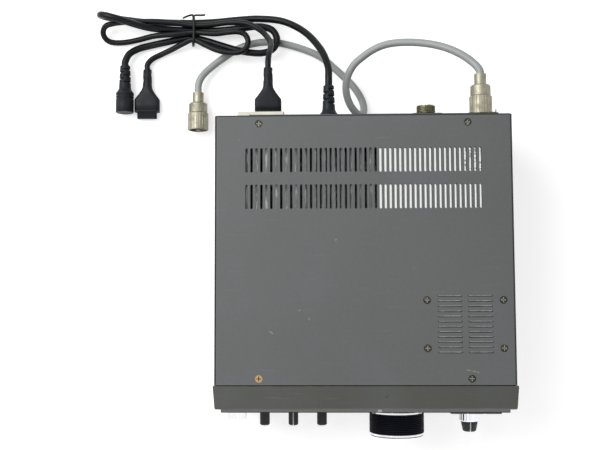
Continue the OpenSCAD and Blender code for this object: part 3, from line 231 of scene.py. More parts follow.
def chip(look, spots, color):
    for x, y, along, across, turn in spots:
        size = mm(along, across, 1)
        look.paint(look.spot((x * MM, y * MM, COVER_TOP), size, math.radians(turn)), color)


def in_range(look, letter, low, high):
    """1 where a coordinate lies between two limits in metres."""
    value = look.axis(letter)
    return look.both(look.math("GREATER_THAN", value, low), look.math("LESS_THAN", value, high))


FAR = 1.0
EDGE_DROP = 1.6 * MM
LINE_WIDTH = 0.8 * MM


def side_lines(look, node, width, color):
    """Painted shade along the two upper side edges of a node, as thin dark lines."""
    low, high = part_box(node)
    upper = in_range(look, "Z", high.z - EDGE_DROP, FAR)
    for limits in ((-FAR, low.x + width), (high.x - width, FAR)):
        look.paint(look.both(upper, in_range(look, "X", *limits)), color)


def cross_line(look, start, end, top, color):
    """A band of painted shading across the set between two values of y, on upper faces only: painted shade
    where dark, painted light where pale.
    """
    upper = in_range(look, "Z", top - EDGE_DROP, FAR)
    look.paint(look.both(upper, in_range(look, "Y", start, end)), color)


def cover_paint():
    look = painted_sheet("cover_paint", srgb(102, 104, 104))
    chip(look, COVER_SPOTS, srgb(168, 166, 158))
    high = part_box("top_cover")[1]
    # Painted shade: a dark line along the rear top edge and near-black lines along the two upper side
    # edges.
    cross_line(look, high.y - LINE_WIDTH, FAR, high.z, srgb(34, 35, 37))
    side_lines(look, "top_cover", 1.6 * MM, srgb(6, 6, 6))
    return look.material


def rear_paint():
    return painted_sheet("rear_paint", srgb(92, 94, 95)).material


def bezel_paint():
    look = painted_sheet("bezel_paint", srgb(81, 82, 76), 0.5)
    chip(look, BEZEL_SPOTS, srgb(34, 34, 32))
    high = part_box("front_bezel")[1]
    # Painted shade: dark lines along the upper side edges and a near-black line in the seam at the rear
    # top edge.
    side_lines(look, "front_bezel", 0.6 * MM, srgb(34, 34, 32))
    cross_line(look, high.y - LINE_WIDTH, FAR, high.z, srgb(16, 16, 15))
    return look.material


def moulded(name, color, roughness=0.5, grain=1400, depth=0.02, worn=None, gloss=0.4):
    """Moulded plastic with a fine spark-eroded texture."""
    look = Look(name, color, roughness, Specular_IOR_Level=gloss)
    look.soften(0.25 * MM)
    look.shade(look.noise(60, 3), 0.93, 1.07)
    if worn:
        patches = look.between(look.noise(240, 3), 0.35, 0.7, 0, 0.6)
        look.paint(look.both(look.edges(0.35 * MM), patches), worn)
    look.rough(look.noise(140, 3), roughness - 0.07, roughness + 0.08)
    look.bump(look.noise(grain, 2), depth * MM)
    return look


def panel_plastic():
    """Grey moulded panel, with painted light making its top pale and painted shade as a dark line along
    its upper front edge.
    """
    look = moulded("panel_plastic", srgb(82, 84, 84), worn=srgb(120, 122, 122))
    low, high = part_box("front_panel")
    # Painted light over the top and painted shade along the upper front edge.
    cross_line(look, low.y + LINE_WIDTH, FAR, high.z, srgb(150, 152, 151))
    cross_line(look, -FAR, low.y + LINE_WIDTH, high.z, srgb(20, 20, 21))
    return look.material


def rubber(name, color):
    """Dull rubber with some dust on it."""
    look = Look(name, color, 0.75, Specular_IOR_Level=0.3)
    look.soften(0.15 * MM)
    look.paint(look.between(look.noise(220, 5), 0.55, 0.8, 0, 0.18), srgb(80, 80, 80))
    look.bump(look.noise(2400, 2), 0.02 * MM)
    return look.material


def grip_rubber():
    """Black rubber with painted shade in the grooves between its ribs."""
    look = Look("grip_rubber", srgb(22, 23, 34), 0.5, Specular_IOR_Level=0.08)
    # Painted shade in the grooves, from ambient occlusion.
    look.paint(look.cavity(0.9 * MM, 0.9), srgb(0, 0, 2))
    look.bump(look.noise(2400, 2), 0.02 * MM)
    return look.material


def plated(name, color, roughness, tarnish, spread=0.2):
    """Plated metal with fine brushing and patches of tarnish."""
    look = Look(name, color, roughness, 1.0)
    look.soften(0.2 * MM)
    patches = look.noise(190, 5)
    look.paint(look.between(patches, 0.5, 0.72, 0, spread), tarnish)
    look.shade(look.noise(900, 2, stretch=(1, 0.1, 1)), 0.94, 1.05)
    look.rough(patches, roughness * 0.8, roughness * 1.3)
    look.bump(look.noise(2600, 2), 0.01 * MM)
    return look


def tin_plate():
    """Bright tin, crinkled and dull at the right end of its rear half."""
    look = plated("tin_plate", srgb(240, 240, 239), 0.12, srgb(224, 224, 220))
    low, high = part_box("shield_can")
    crinkled = look.both(look.between(look.axis("X"), high.x - 17 * MM, high.x - 14 * MM),
                         look.math("GREATER_THAN", look.axis("Y"), (low.y + high.y) / 2))
    patches = look.between(look.noise(520, 2), 0.48, 0.58, 0, 0.75)
    look.paint(look.both(crinkled, patches), srgb(120, 120, 118))
    return look.material


def socket_nickel():
    """Old olive-brown plating, pale at the rims of the sockets, with painted shade over the flanges."""
    look = plated("socket_nickel", srgb(126, 121, 99), 0.42, srgb(74, 68, 48), 0.7)
    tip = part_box("antenna_sockets")[1].y
    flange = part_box("rear_panel")[1].y + 2.2 * MM
    # Painted shade over the flanges.
    look.paint(look.math("LESS_THAN", look.axis("Y"), flange), srgb(70, 67, 56))
    look.paint(look.between(look.axis("Y"), tip - 1.2 * MM, tip - 0.5 * MM, 0, 0.85), srgb(214, 210, 190))
    return look.material


def turned_metal(name, color, roughness):
    """Metal from the lathe, with fine rings round an axis along Y."""
    look = Look(name, color, roughness, 1.0, Anisotropic=0.4)
    look.soften(0.2 * MM)
    rings = look.noise(2500, 1, stretch=(0.05, 1, 0.05))
    look.shade(rings, 0.95, 1.04)
    look.rough(look.noise(80, 3), roughness * 0.85, roughness * 1.2)
    look.bump(rings, 0.005 * MM)
    return look


def dial_metal():
    """Bright turned metal with a painted dark reflection as a line round the cap, a little behind its
    front.
    """
    look = turned_metal("dial_metal", srgb(240, 240, 242), 0.2)
    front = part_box("tuning_knob")[0].y
    # Painted reflection: a dark line round the cap.
    look.paint(in_range(look, "Y", front + 1.7 * MM, front + 2.4 * MM), srgb(62, 62, 66))
    return look.material


def cast_metal(name, color):
    """Cast metal with painted glints as pale streaks along the set's depth."""
    look = Look(name, color, 0.5, 0.7)
    look.shade(look.noise(260, 5), 0.75, 1.2)
    # Painted glints: pale streaks along the fins.
    streaks = look.noise(420, 3, stretch=(1, 0.16, 1))
    look.paint(look.between(streaks, 0.53, 0.62, 0, 0.8), srgb(236, 237, 235))
    look.rough(look.noise(120, 3), 0.4, 0.65)
    look.bump(look.noise(700, 4), 0.08 * MM)
    return look.material


def board_laminate():
    """Green circuit board with paler tracks."""
    look = Look("board_laminate", srgb(38, 96, 58), 0.35)
    tracks = look.between(look.noise(420, 0, stretch=(1, 6, 1)), 0.52, 0.54)
    look.paint(look.both(tracks, 0.6), srgb(66, 128, 78))
    look.shade(look.noise(90, 3), 0.9, 1.1)
    return look.material


def clear_window():
    look = Look("window_clear", srgb(96, 104, 104), 0.06, Alpha=0.14)
    look.rough(look.noise(60, 3), 0.04, 0.1)
    return look.material


def display_glass():
    look = Look("display_glass", srgb(22, 34, 32), 0.5, Specular_IOR_Level=0.2)
    look.shade(look.noise(40, 2), 0.9, 1.12)
    look.rough(look.noise(50, 2), 0.42, 0.58)
    return look.material


def meter_card():
    look = Look("meter_card", srgb(232, 224, 196), 0.7)
    look.shade(look.noise(45, 4), 0.95, 1.03)
    look.bump(look.noise(1500, 3), 0.01 * MM)
    return look.material


def ink(name, color):
    look = Look(name, color, 0.6)
    look.shade(look.noise(900, 3), 0.9, 1.08)
    return look.material


def cone_paper():
    look = Look("cone_paper", srgb(88, 88, 86), 0.9)
    look.shade(look.noise(700, 5), 0.8, 1.2)
    look.bump(look.noise(900, 5), 0.1 * MM)
    return look.material


def vinyl(name, color, highlight, roughness, gloss=0.5):
    """Cable jacket, smooth, with painted highlight patches."""
    look = Look(name, color, roughness, Specular_IOR_Level=gloss)
    # Painted highlight patches.
    look.paint(look.between(look.noise(70, 5), 0.52, 0.7, 0, 0.3), highlight)
    look.rough(look.noise(120, 4), roughness - 0.08, roughness + 0.12)
    look.bump(look.noise(900, 2), 0.02 * MM)
    return look.material


def screw_metal(name, color, recess, reach, roughness=0.35, rim=0.72):
    """Screw plating, worn in places, with painted glints or painted shade in the cross recess, as its
    colour is pale or dark.
    """
    look = Look(name, color, roughness, 1.0)
    look.soften(0.12 * MM)
    worn = look.between(look.noise(900, 3), 0.55, 0.7, 0, 0.35)
    look.paint(worn, srgb(168, 166, 160))
    # Painted glints or painted shade in the cross recess, from ambient occlusion, as the recess colour is
    # pale or dark.
    look.paint(look.cavity(reach * MM, rim), recess)
    look.bump(look.noise(2400, 2), 0.01 * MM)
    return look


def brass():
    """Brass screw with painted shade towards the rim of its head and in its cross recess."""
    # Dark recess colour: painted shade in the cross recess.
    look = screw_metal("brass", srgb(192, 166, 122), srgb(40, 24, 8), 2.0, 0.28, 0.92)
    low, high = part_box("brass_screw")
    reach = (high.x - low.x) * 0.62
    centre = look.spot(((low.x + high.x) / 2, (low.y + high.y) / 2, high.z), (reach, reach, FAR))
    # Painted shade towards the rim of the head.
    look.paint(look.math("SUBTRACT", 1.0, centre), srgb(84, 60, 30))
    return look.material


looks = {
    "cover_paint": cover_paint(),
    "rear_paint": rear_paint(),
    "bezel_paint": bezel_paint(),
    "panel_plastic": panel_plastic(),
    "chassis_metal": plated("chassis_metal", srgb(205, 206, 207), 0.35, srgb(150, 150, 146)).material,
    "sink_metal": cast_metal("sink_metal", srgb(162, 164, 164)),
    "tin_plate": tin_plate(),
    "board_laminate": board_laminate(),
    "window_clear": clear_window(),
    "display_glass": display_glass(),
    "meter_card": meter_card(),
    "needle_paint": ink("needle_paint", srgb(180, 40, 30)),
    "speaker_frame": moulded("speaker_frame", srgb(88, 89, 89), 0.6).material,
    "cone_paper": cone_paper(),
    "socket_nickel": socket_nickel(),
    "cream_plastic": moulded("cream_plastic", srgb(240, 238, 222), 0.45).material,
    "black_plastic": moulded("black_plastic", srgb(28, 29, 31), gloss=0.3).material,
    "bright_nickel": plated("bright_nickel", srgb(212, 212, 208), 0.2, srgb(170, 168, 160)).material,
    "foot_rubber": rubber("foot_rubber", srgb(30, 30, 31)),
    "wire_steel": plated("wire_steel", srgb(206, 206, 206), 0.18, srgb(160, 158, 154)).material,
    # Pale recess colour of the black screws: painted glints.
    "screw_black": screw_metal("screw_black", srgb(56, 55, 50), srgb(180, 178, 172), 1.2).material,
    "brass": brass(),
    "control_metal": plated("control_metal", srgb(176, 176, 174), 0.35, srgb(130, 128, 122)).material,
    "dial_metal": dial_metal(),
    "grip_rubber": grip_rubber(),
    "knob_plastic": moulded("knob_plastic", srgb(54, 56, 57), 0.3, worn=srgb(94, 96, 97),
                            gloss=0.25).material,
    "bright_chrome": plated("bright_chrome", srgb(250, 250, 252), 0.1, srgb(228, 228, 232)).material,
    "mat_rubber": rubber("mat_rubber", srgb(84, 84, 84)),
    "key_plastic": moulded("key_plastic", srgb(112, 114, 114), 0.5, worn=srgb(140, 141, 140)).material,
    "coax_jacket": vinyl("coax_jacket", srgb(164, 169, 167), srgb(180, 184, 181), 0.42),
    "black_jacket": vinyl("black_jacket", srgb(9, 11, 14), srgb(22, 24, 28), 0.34, 0.18),
    "plug_nickel": plated("plug_nickel", srgb(152, 149, 133), 0.5, srgb(124, 119, 102), 0.5).material,
    "plug_plastic": moulded("plug_plastic", srgb(20, 25, 29), 0.5, 900, 0.03, gloss=0.2).material,
    "tie_plastic": moulded("tie_plastic", srgb(14, 14, 15), 0.4, gloss=0.2).material,
}
white_ink = ink("white_ink", srgb(232, 232, 228))
dark_ink = ink("dark_ink", srgb(30, 30, 32))
ghost_ink = ink("ghost_ink", srgb(36, 54, 50))


def dress():
    """Gives every CAD node the look of its slot in the record."""
    for row in frame["record"]["subparts"]:
        mesh = nodes[row["node"]].data
        mesh.materials.clear()
        mesh.materials.append(looks[row["material_slot"]])


dress()


# Pieces
def piece(name, mesh, body, slot, look=None):
    """A new object that rides on a body, with the look of a slot unless another is given."""
    made = bpy.data.objects.new(name, mesh)
    scene.collection.objects.link(made)
    made.data.materials.append(look or looks[slot])
    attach(made, body)
    return made


class Form:
    """A mesh under construction, from closed skins whose points are in millimetres."""

    def __init__(self):
        self.mesh = bmesh.new()

    def loft(self, rings, smooth=False):
        """A closed skin over rings of as many points each."""
        rows = [[self.mesh.verts.new(mm(*point)) for point in ring] for ring in rings]
        count = len(rows[0])
        for low, high in zip(rows, rows[1:]):
            for i in range(count):
                j = (i + 1) % count
                face = self.mesh.faces.new((low[i], low[j], high[j], high[i]))
                face.smooth = smooth
        self.mesh.faces.new(list(reversed(rows[0])))
        self.mesh.faces.new(rows[-1])

    def tile(self, outline, back, front):
        """An outline of x and z on the front of the set, from one y to another."""
        self.loft([[(x, y, z) for x, z in outline] for y in (back, front)])

    def sweep(self, points, section):
        """A section of side and up offsets, swept along points that lie near a level plane."""
        points = [Vector(point) for point in points]
        last = len(points) - 1
        rings = []
        for i, point in enumerate(points):
            ahead = points[min(i + 1, last)] - points[max(i - 1, 0)]
            side = ahead.cross(Vector((0, 0, 1))).normalized()
            up = side.cross(ahead).normalized()
            rings.append([tuple(point + side * u + up * v) for u, v in section])
        self.loft(rings, smooth=True)

    def copy_of(self, mesh, matrix):
        """Adds another mesh, moved by a matrix in metres."""
        first = len(self.mesh.verts)
        self.mesh.from_mesh(mesh)
        self.mesh.verts.ensure_lookup_table()
        bmesh.ops.transform(self.mesh, matrix=matrix, verts=self.mesh.verts[first:])

    def build(self, name):
        bmesh.ops.recalc_face_normals(self.mesh, faces=self.mesh.faces)
        made = bpy.data.meshes.new(name)
        self.mesh.to_mesh(made)
        self.mesh.free()
        return made


def circle(radius, count):
    """Points round the origin, as pairs."""
    return [(radius * math.cos(TAU * i / count), radius * math.sin(TAU * i / count)) for i in range(count)]


def smooth_points(route, steps):
    """Points on a smooth curve through a route, in the route's own unit."""
    points = [Vector(point) for point in route]
    last = len(points) - 1
    made = []
    for i in range(last):
        a, b, c, d = points[max(i - 1, 0)], points[i], points[i + 1], points[min(i + 2, last)]
        for step in range(steps):
            t = step / steps
            made.append((2 * b + (c - a) * t + (2 * a - 5 * b + 4 * c - d) * t ** 2
                         + (3 * b - a - 3 * c + d) * t ** 3) / 2)
    return made + [points[last]]


# Flat data plugs: distance from the mating face, half width, half thickness and squareness, in millimetres
DATA_PLUG_ENDS = [(-80, 138.3, 54), (-195, 150, 4.7)]
DATA_PLUG_BODY = [
    (-6, 8.7, 2.2, 7), (-5.6, 9, 2.5, 7), (0, 9, 2.5, 7), (0, 11.2, 4.2, 6), (0.3, 11.5, 4.5, 6),
    (1.3, 11.5, 4.5, 6), (1.5, 11.1, 4.1, 6), (1.9, 11.1, 4.1, 6), (2.1, 11.5, 4.5, 6),
    (7, 11.5, 4.5, 6), (11.4, 11.5, 4.5, 6), (12.4, 11.1, 4.5, 5.5), (13.4, 10.3, 4.45, 5),
    (17, 7.6, 4.3, 4), (20.5, 5.4, 4.2, 3), (22.5, 4.6, 4.15, 2.4), (24, 4.35, 4.15, 2)]
NECK_START = 25
NECK_END = 39.4
NECK_ROOT = 4.25
NECK_TIP = 3.9
NECK_RINGS = 28
NECK_STARTS = 3
NECK_PITCH = 34
NECK_DEPTH = 0.32
NECK_FADE = 6
NECK_EDGE = 0.5
PLUG_END = 40
PLUG_POINTS = 48


def plug_ring(y, half_w, half_t, power):
    """A squared ring across a flat plug."""
    ring = []
    for i in range(PLUG_POINTS):
        c, s = math.cos(TAU * i / PLUG_POINTS), math.sin(TAU * i / PLUG_POINTS)
        reach = (abs(c) ** power + abs(s) ** power) ** (-1 / power)
        ring.append((half_w * reach * c, y, half_t * reach * s))
    return ring


def neck_ring(y):
    """A ring of the strain relief, with ribs that wind round it."""
    share = (y - NECK_START) / (NECK_END - NECK_START)
    radius = NECK_ROOT + (NECK_TIP - NECK_ROOT) * share
    fade = min(1, NECK_FADE * share, NECK_FADE * (1 - share))
    ring = []
    for i in range(PLUG_POINTS):
        angle = TAU * i / PLUG_POINTS
        wave = math.cos(NECK_STARTS * (angle - TAU * (y - NECK_START) / NECK_PITCH))
        reach = radius - NECK_DEPTH * fade * max(0, wave) ** 0.5
        ring.append((reach * math.cos(angle), y, reach * math.sin(angle)))
    return ring


def evenly(start, end, count):
    """So many evenly spaced values from a start to an end."""
    return [start + (end - start) * i / (count - 1) for i in range(count)]


def plug_pair(name, node, ends, rings):
    """The same plug at both ends of a cable, in place of a CAD node."""
    form = Form()
    for x, y, z in ends:
        form.loft([[(x + u, y + v, z + w) for u, v, w in ring] for ring in rings], smooth=True)
    made = piece(name, form.build(name), "set", "plug_plastic")
    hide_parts(node)
    return made


def make_data_plugs():
    rings = [plug_ring(*row) for row in DATA_PLUG_BODY]
    rings += [neck_ring(y) for y in evenly(NECK_START, NECK_END, NECK_RINGS)]
    rings.append(plug_ring(PLUG_END, NECK_TIP - NECK_EDGE, NECK_TIP - NECK_EDGE, 2))
    return plug_pair("data_plug_pair", "data_plugs", DATA_PLUG_ENDS, rings)


# Round control plugs: distance from the mating face and radius, in millimetres
CONTROL_PLUG_ENDS = [(-27.5, 118, 54), (-215, 149, 8.4)]
CONTROL_PLUG_BODY = [
    (0, 7.8), (0.4, 8.2), (12.4, 8.2), (12.7, 7.8), (13.7, 7.8), (14, 8.2), (15, 8.2), (15.3, 7.8),
    (16.1, 7.8), (16.4, 8.2), (18, 8.2), (18.7, 7.9), (19.8, 7), (21, 6.2), (22.4, 5.7)]
RELIEF_START = 23.4
RELIEF_END = 43.4
RELIEF_ROOT = 5.5
RELIEF_TIP = 4.6
RELIEF_RINGS = 80
RELIEF_SLOTS = 5
RELIEF_FIRST = 28.2
RELIEF_PITCH = 3
RELIEF_HALF = 0.7
RELIEF_CUT = 1.1
RELIEF_EDGE = 0.6


def relief_ring(y):
    """A ring of the round strain relief, whose slots lie to the right and left in turn."""
    radius = RELIEF_ROOT + (RELIEF_TIP - RELIEF_ROOT) * (y - RELIEF_START) / (RELIEF_END - RELIEF_START)
    ring = []
    for i in range(PLUG_POINTS):
        angle = TAU * i / PLUG_POINTS
        cut = 0
        for slot in range(RELIEF_SLOTS):
            off = abs(y - RELIEF_FIRST - slot * RELIEF_PITCH) / RELIEF_HALF
            side = math.cos(angle) * (-1) ** slot
            cut = max(cut, max(0, 1 - off ** 4) * min(1, max(0, 5 * side + 0.6)))
        reach = radius - RELIEF_CUT * cut
        ring.append((reach * math.cos(angle), y, reach * math.sin(angle)))
    return ring


def make_control_plugs():
    rings = [plug_ring(y, radius, radius, 2) for y, radius in CONTROL_PLUG_BODY]
    rings += [relief_ring(y) for y in evenly(RELIEF_START, RELIEF_END, RELIEF_RINGS)]
    end = RELIEF_TIP - RELIEF_EDGE
    rings.append(plug_ring(RELIEF_END + RELIEF_EDGE, end, end, 2))
    return plug_pair("control_plug_pair", "control_plugs", CONTROL_PLUG_ENDS, rings)


# Twist tie round the folded cables, in millimetres
TIE_X = -152
TIE_LOOP_Y = (211.1, 239.5)
TIE_LOOP_Z = (0.3, 14.7)
TIE_WIDTH = 2.2
TIE_THICK = 0.8
TIE_CORE = 1.1
CORE_TOP = 0.3
CORE_FOOT = 0.6
TIE_POINTS = 64
TIE_SKEW = 1.3
TAIL_WIDE = 0.75
TAIL_STEPS = 5
TAIL_LEFT = [(-152.6, 238.6, 8.2), (-152.2, 239.6, 9.2), (-153.4, 239.8, 9.8), (-156, 239.2, 10),
             (-159.2, 238, 9.8), (-161.6, 237, 9.4)]
TAIL_RIGHT = [(-151.4, 238.6, 8.6), (-151.8, 239.4, 7.8), (-150.6, 239.8, 8.8), (-147.6, 239.6, 9.6),
              (-144, 239.4, 10.2), (-141, 239.8, 10)]
TIP_LENGTH = 3.4
TIP_RADIUS = 0.28
TIP_POINTS = 10
TIP_DROOP = Vector((0, -0.5, -0.4))


def tie_section():
    """Flat plastic strip with a thicker core, as offsets across and through it."""
    thin, core = TIE_THICK / 2, TIE_CORE / 2
    upper = [(TIE_WIDTH / 2, thin), (CORE_FOOT, thin), (CORE_TOP, core)]
    upper += [(-u, v) for u, v in reversed(upper)]
    return [(u, -v) for u, v in reversed(upper)] + upper


def tie_loop(form):
    """The strip once round the cables, a little askew, with overlapping ends."""
    centre_y, centre_z = sum(TIE_LOOP_Y) / 2, sum(TIE_LOOP_Z) / 2
    half_y, half_z = (TIE_LOOP_Y[1] - TIE_LOOP_Y[0]) / 2, (TIE_LOOP_Z[1] - TIE_LOOP_Z[0]) / 2
    rings = []
    for i in range(TIE_POINTS + 1):
        turn = TAU * i / TIE_POINTS
        c, s = math.cos(turn), math.sin(turn)
        reach = (abs(c) ** 4 + abs(s) ** 4) ** -0.25
        out = Vector((0, c * abs(c) ** 2 / half_y, s * abs(s) ** 2 / half_z)).normalized()
        point = Vector((TIE_X + TIE_SKEW * s, centre_y + (half_y - TIE_CORE / 2) * reach * c,
                        centre_z + (half_z - TIE_CORE / 2) * reach * s))
        rings.append([tuple(point + Vector((u, 0, 0)) + out * v) for u, v in tie_section()])
    form.loft(rings, smooth=True)


def make_tie():
    form = Form()
    tie_loop(form)
    tips = Form()
    for tail in (TAIL_LEFT, TAIL_RIGHT):
        points = smooth_points(tail, TAIL_STEPS)
        form.sweep(points, [(u * TAIL_WIDE, v) for u, v in tie_section()])
        end = points[-1]
        along = (end - points[-2]).normalized()
        tip = [end - along, end + along * TIP_LENGTH / 2, end + along * TIP_LENGTH + TIP_DROOP]
        tips.sweep(tip, circle(TIP_RADIUS, TIP_POINTS))
    made = piece("twist_tie", form.build("twist_tie"), "set", "tie_plastic")
    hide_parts("cable_tie")
    wires = piece("twist_tie_wires", tips.build("twist_tie_wires"), "set", "wire_steel")
    return [made, wires]


# Cable routes in millimetres, from the plug in the set to the plug at the far end
COAX_ROUTE = [
    (100, 166.3, 72), (100, 168.3, 72),
    (98.6, 171.8, 71.5), (95, 176.4, 70), (89.6, 181.6, 68), (83, 186.6, 65.4), (75, 191.4, 62),
    (66, 195.3, 58.4), (56, 198.2, 54.8), (45, 200.2, 51.2), (33, 201, 47.6), (22, 200, 44.6),
    (12.5, 196.8, 41.8), (4, 191.8, 39.2), (-5, 184.4, 36.6), (-10.5, 174.5, 34),
    (-12, 164, 31.2), (-10, 154.7, 28.2), (-5.8, 147.4, 24.8), (-0.7, 143.7, 19.2), (3.5, 145.4, 12),
    (5, 151.3, 6.2), (3.4, 159.5, 3.6), (-0.8, 167.5, 3.6), (-6.5, 175, 3.6), (-13.5, 182, 3.6),
    (-22, 190, 3.6), (-35, 201, 3.6), (-53, 209, 3.6), (-72, 214, 3.6), (-90, 215, 3.6),
    (-109, 210, 3.8), (-126, 199, 5), (-138, 189, 7), (-144.5, 181, 8.8),
    (-147, 173.6, 9.6), (-147, 166.6, 9.6)]
CONTROL_ROUTE = [
    (-27.5, 162, 54), (-27.5, 170, 54),
    (-28, 180, 51), (-34, 197, 42), (-48, 217, 27), (-68, 231, 15), (-91, 236, 8), (-112, 236, 5),
    (-132, 234.4, 4.6), (-152, 233.6, 4.8), (-175, 234.6, 3.8), (-197, 235.4, 3.5), (-213, 237.4, 3.5),
    (-226.8, 239.4, 3.8), (-234.2, 239.8, 6.8), (-237.2, 239.2, 14), (-234.2, 237.4, 21.2),
    (-226.8, 235, 24.2), (-216, 232.2, 22.4), (-204, 229.4, 16.8), (-190, 227.6, 10), (-172, 227, 6),
    (-152, 226.6, 4.8), (-130, 225.4, 7.4), (-108, 226.4, 10.8), (-97, 227.4, 11.8), (-86.4, 227, 11.8),
    (-78, 223.4, 11.8), (-74.4, 215, 11.8), (-78, 206.6, 11.8), (-86.4, 203, 11.8), (-97, 203, 11.8),
    (-110, 205.4, 11.6), (-128, 211.5, 9.4), (-139, 215.8, 6.4), (-152, 219.4, 4.8), (-165, 218.6, 3.8),
    (-178, 216.2, 3.5), (-191, 213.4, 3.6), (-203, 210, 4.8), (-211.4, 204.6, 7),
    (-215, 197, 8.4), (-215, 193, 8.4)]
DATA_ROUTE = [
    (-80, 178.3, 54), (-80, 184.3, 54),
    (-79.5, 191, 51), (-78.5, 199, 43.5), (-79, 206, 35.5), (-83, 214, 27.5), (-90, 222, 21.5),
    (-102, 229, 17.4), (-118, 231, 14), (-135, 230, 11.6), (-152, 230, 10.4), (-170, 232.6, 10.2),
    (-188, 234, 10.2), (-204, 233.8, 10.6), (-216, 233, 12.4), (-227, 231.2, 13.3), (-233.4, 229, 11.8),
    (-236, 223.8, 8.2), (-233.4, 218.6, 4.6), (-227, 216.4, 3.2), (-216, 216.6, 3), (-204, 218.2, 4.8),
    (-188, 220.6, 9), (-170, 221.6, 10.2), (-152, 223.2, 10.4), (-132, 220.8, 13.8), (-120, 221, 17),
    (-110, 221.1, 18.2), (-103.2, 218.3, 18.2), (-100.4, 211.5, 18.2), (-103.2, 204.7, 18.2),
    (-110, 201.9, 17.8), (-120, 202.6, 16.6), (-130, 205.4, 15), (-141, 211, 12.6), (-152, 216.4, 10.4),
    (-162, 213, 8.4), (-172, 209, 5), (-182, 205, 2.9), (-190.5, 200.4, 3.8),
    (-195, 195, 4.7), (-195, 190, 4.7)]
CORD_STEPS = 6


def make_cord(name, route, diameter, slot, node, with_pieces):
    """A cable along a route, in place of a CAD tube, with its diameter in metres."""
    curve = bpy.data.curves.new(name, "CURVE")
    curve.dimensions = "3D"
    curve.bevel_depth = diameter / 2
    curve.bevel_resolution = 6
    curve.use_fill_caps = True
    points = [mm(*point) for point in smooth_points(route, CORD_STEPS)]
    spline = curve.splines.new("POLY")
    spline.points.add(len(points) - 1)
    for target, point in zip(spline.points, points):
        target.co = (*point, 1)
    spline.use_smooth = True
    made = piece(name, curve, "set", slot)
    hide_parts(node)


make_cord("coax_lead", COAX_ROUTE, 0.0066, "coax_jacket", "coax_cable",
          ["coax_plugs", "coax_ring_near", "coax_ring_far"])
make_cord("control_lead", CONTROL_ROUTE, 0.0064, "black_jacket", "control_cable",
          [make_control_plugs(), *make_tie()])
make_cord("data_lead", DATA_ROUTE, 0.0052, "black_jacket", "data_cable", [make_data_plugs()])


# Pointers and marks of the knobs, in millimetres and degrees clockwise from the top
PANEL_FACE = box_mm("front_panel")[0].y
MARK_PROUD = 0.06
MARK_SUNK = 0.1
POINTER_WIDTH = 0.8
POINTER_PROUD = 0.1
POINTER_SUNK = 0.6
LEVEL_RADIUS = 4.25
LEVEL_BACK = 0.8
LEVEL_LINE_END = 1.2
KNOB_EDGE = 0.9
KNOB_LEVELS = {"level_knob_left": ("level_left", -100), "level_knob_middle": ("level_middle", 0),
               "level_knob_right": ("level_right", 100)}
GAIN_EDGE = 1.2
GAIN_BACK = 0.2
GAIN_COLLAR = 1.5
GAIN_LINE_END = 2
SWEEP = 150
TICKS = 11
TICK_GAP = 1.8
LEVEL_TICK = 1.5
GAIN_TICK_AT = 10.2
GAIN_TICK = 1.8
MAJOR_EVERY = 5
MAJOR_MORE = 0.7
MAJOR_WIDTH = 0.55
MINOR_WIDTH = 0.4
WHITE_MARK_X = 11.9
WHITE_MARK_W = 3.3
WHITE_MARK_FROM = 2.9
WHITE_MARK_TO = 0.8
WHITE_MARK_DEEP = 1


def polar(centre, radius, degrees):
    """A point on the panel's face, as x and z, clockwise from the top as seen from the front."""
    turn = math.radians(degrees)
    return centre[0] + radius * math.sin(turn), centre[1] + radius * math.cos(turn)


def pointer(name, body, centre, profile, degrees):
    """A white line along a knob's side and over its front: profile holds radius and y pairs."""
    turn = math.radians(degrees)
    out = Vector((math.sin(turn), 0, math.cos(turn)))
    side = Vector((math.cos(turn), 0, -math.sin(turn))) * POINTER_WIDTH / 2
    rings = []
    for i, (radius, y) in enumerate(profile):
        before, after = profile[max(i - 1, 0)], profile[min(i + 1, len(profile) - 1)]
        along = Vector((after[0] - before[0], after[1] - before[1])).normalized()
        lift = out * -along.y + Vector((0, 1, 0)) * along.x
        point = Vector((centre[0], y, centre[1])) + out * radius
        top, bottom = point + lift * POINTER_PROUD, point - lift * POINTER_SUNK
        rings.append([tuple(corner) for corner in (top + side, top - side, bottom - side, bottom + side)])
    form = Form()
    form.loft(rings)
    piece(name, form.build(name), body, "meter_card", white_ink)


def make_pointers():
    for node, (body, degrees) in KNOB_LEVELS.items():
        front = box_mm(node)[0].y
        centre = (middle(node).x, middle(node).z)
        profile = [(LEVEL_RADIUS, PANEL_FACE - LEVEL_BACK), (LEVEL_RADIUS, front + KNOB_EDGE),
                   (LEVEL_RADIUS - KNOB_EDGE, front), (LEVEL_LINE_END, front)]
        pointer(node + "_line", body, centre, profile, degrees)
    low, high = box_mm("gain_knob")
    centre = (middle("gain_knob").x, middle("gain_knob").z)
    root = (high.x - low.x) / 2
    tip = root - GAIN_EDGE
    profile = [(root, high.y - GAIN_BACK), (root, high.y - GAIN_COLLAR), (tip, low.y + KNOB_EDGE),
               (tip - KNOB_EDGE, low.y), (GAIN_LINE_END, low.y)]
    pointer("gain_knob_line", "gain_inner", centre, profile, 0)


def tick(form, centre, inner, outer, width, degrees, back, front):
    """A short bar on the panel's face that points at a centre."""
    turn = math.radians(degrees)
    side = Vector((math.cos(turn), -math.sin(turn))) * width / 2
    low, high = Vector(polar(centre, inner, degrees)), Vector(polar(centre, outer, degrees))
    form.tile([low - side, low + side, high + side, high - side], back, front)


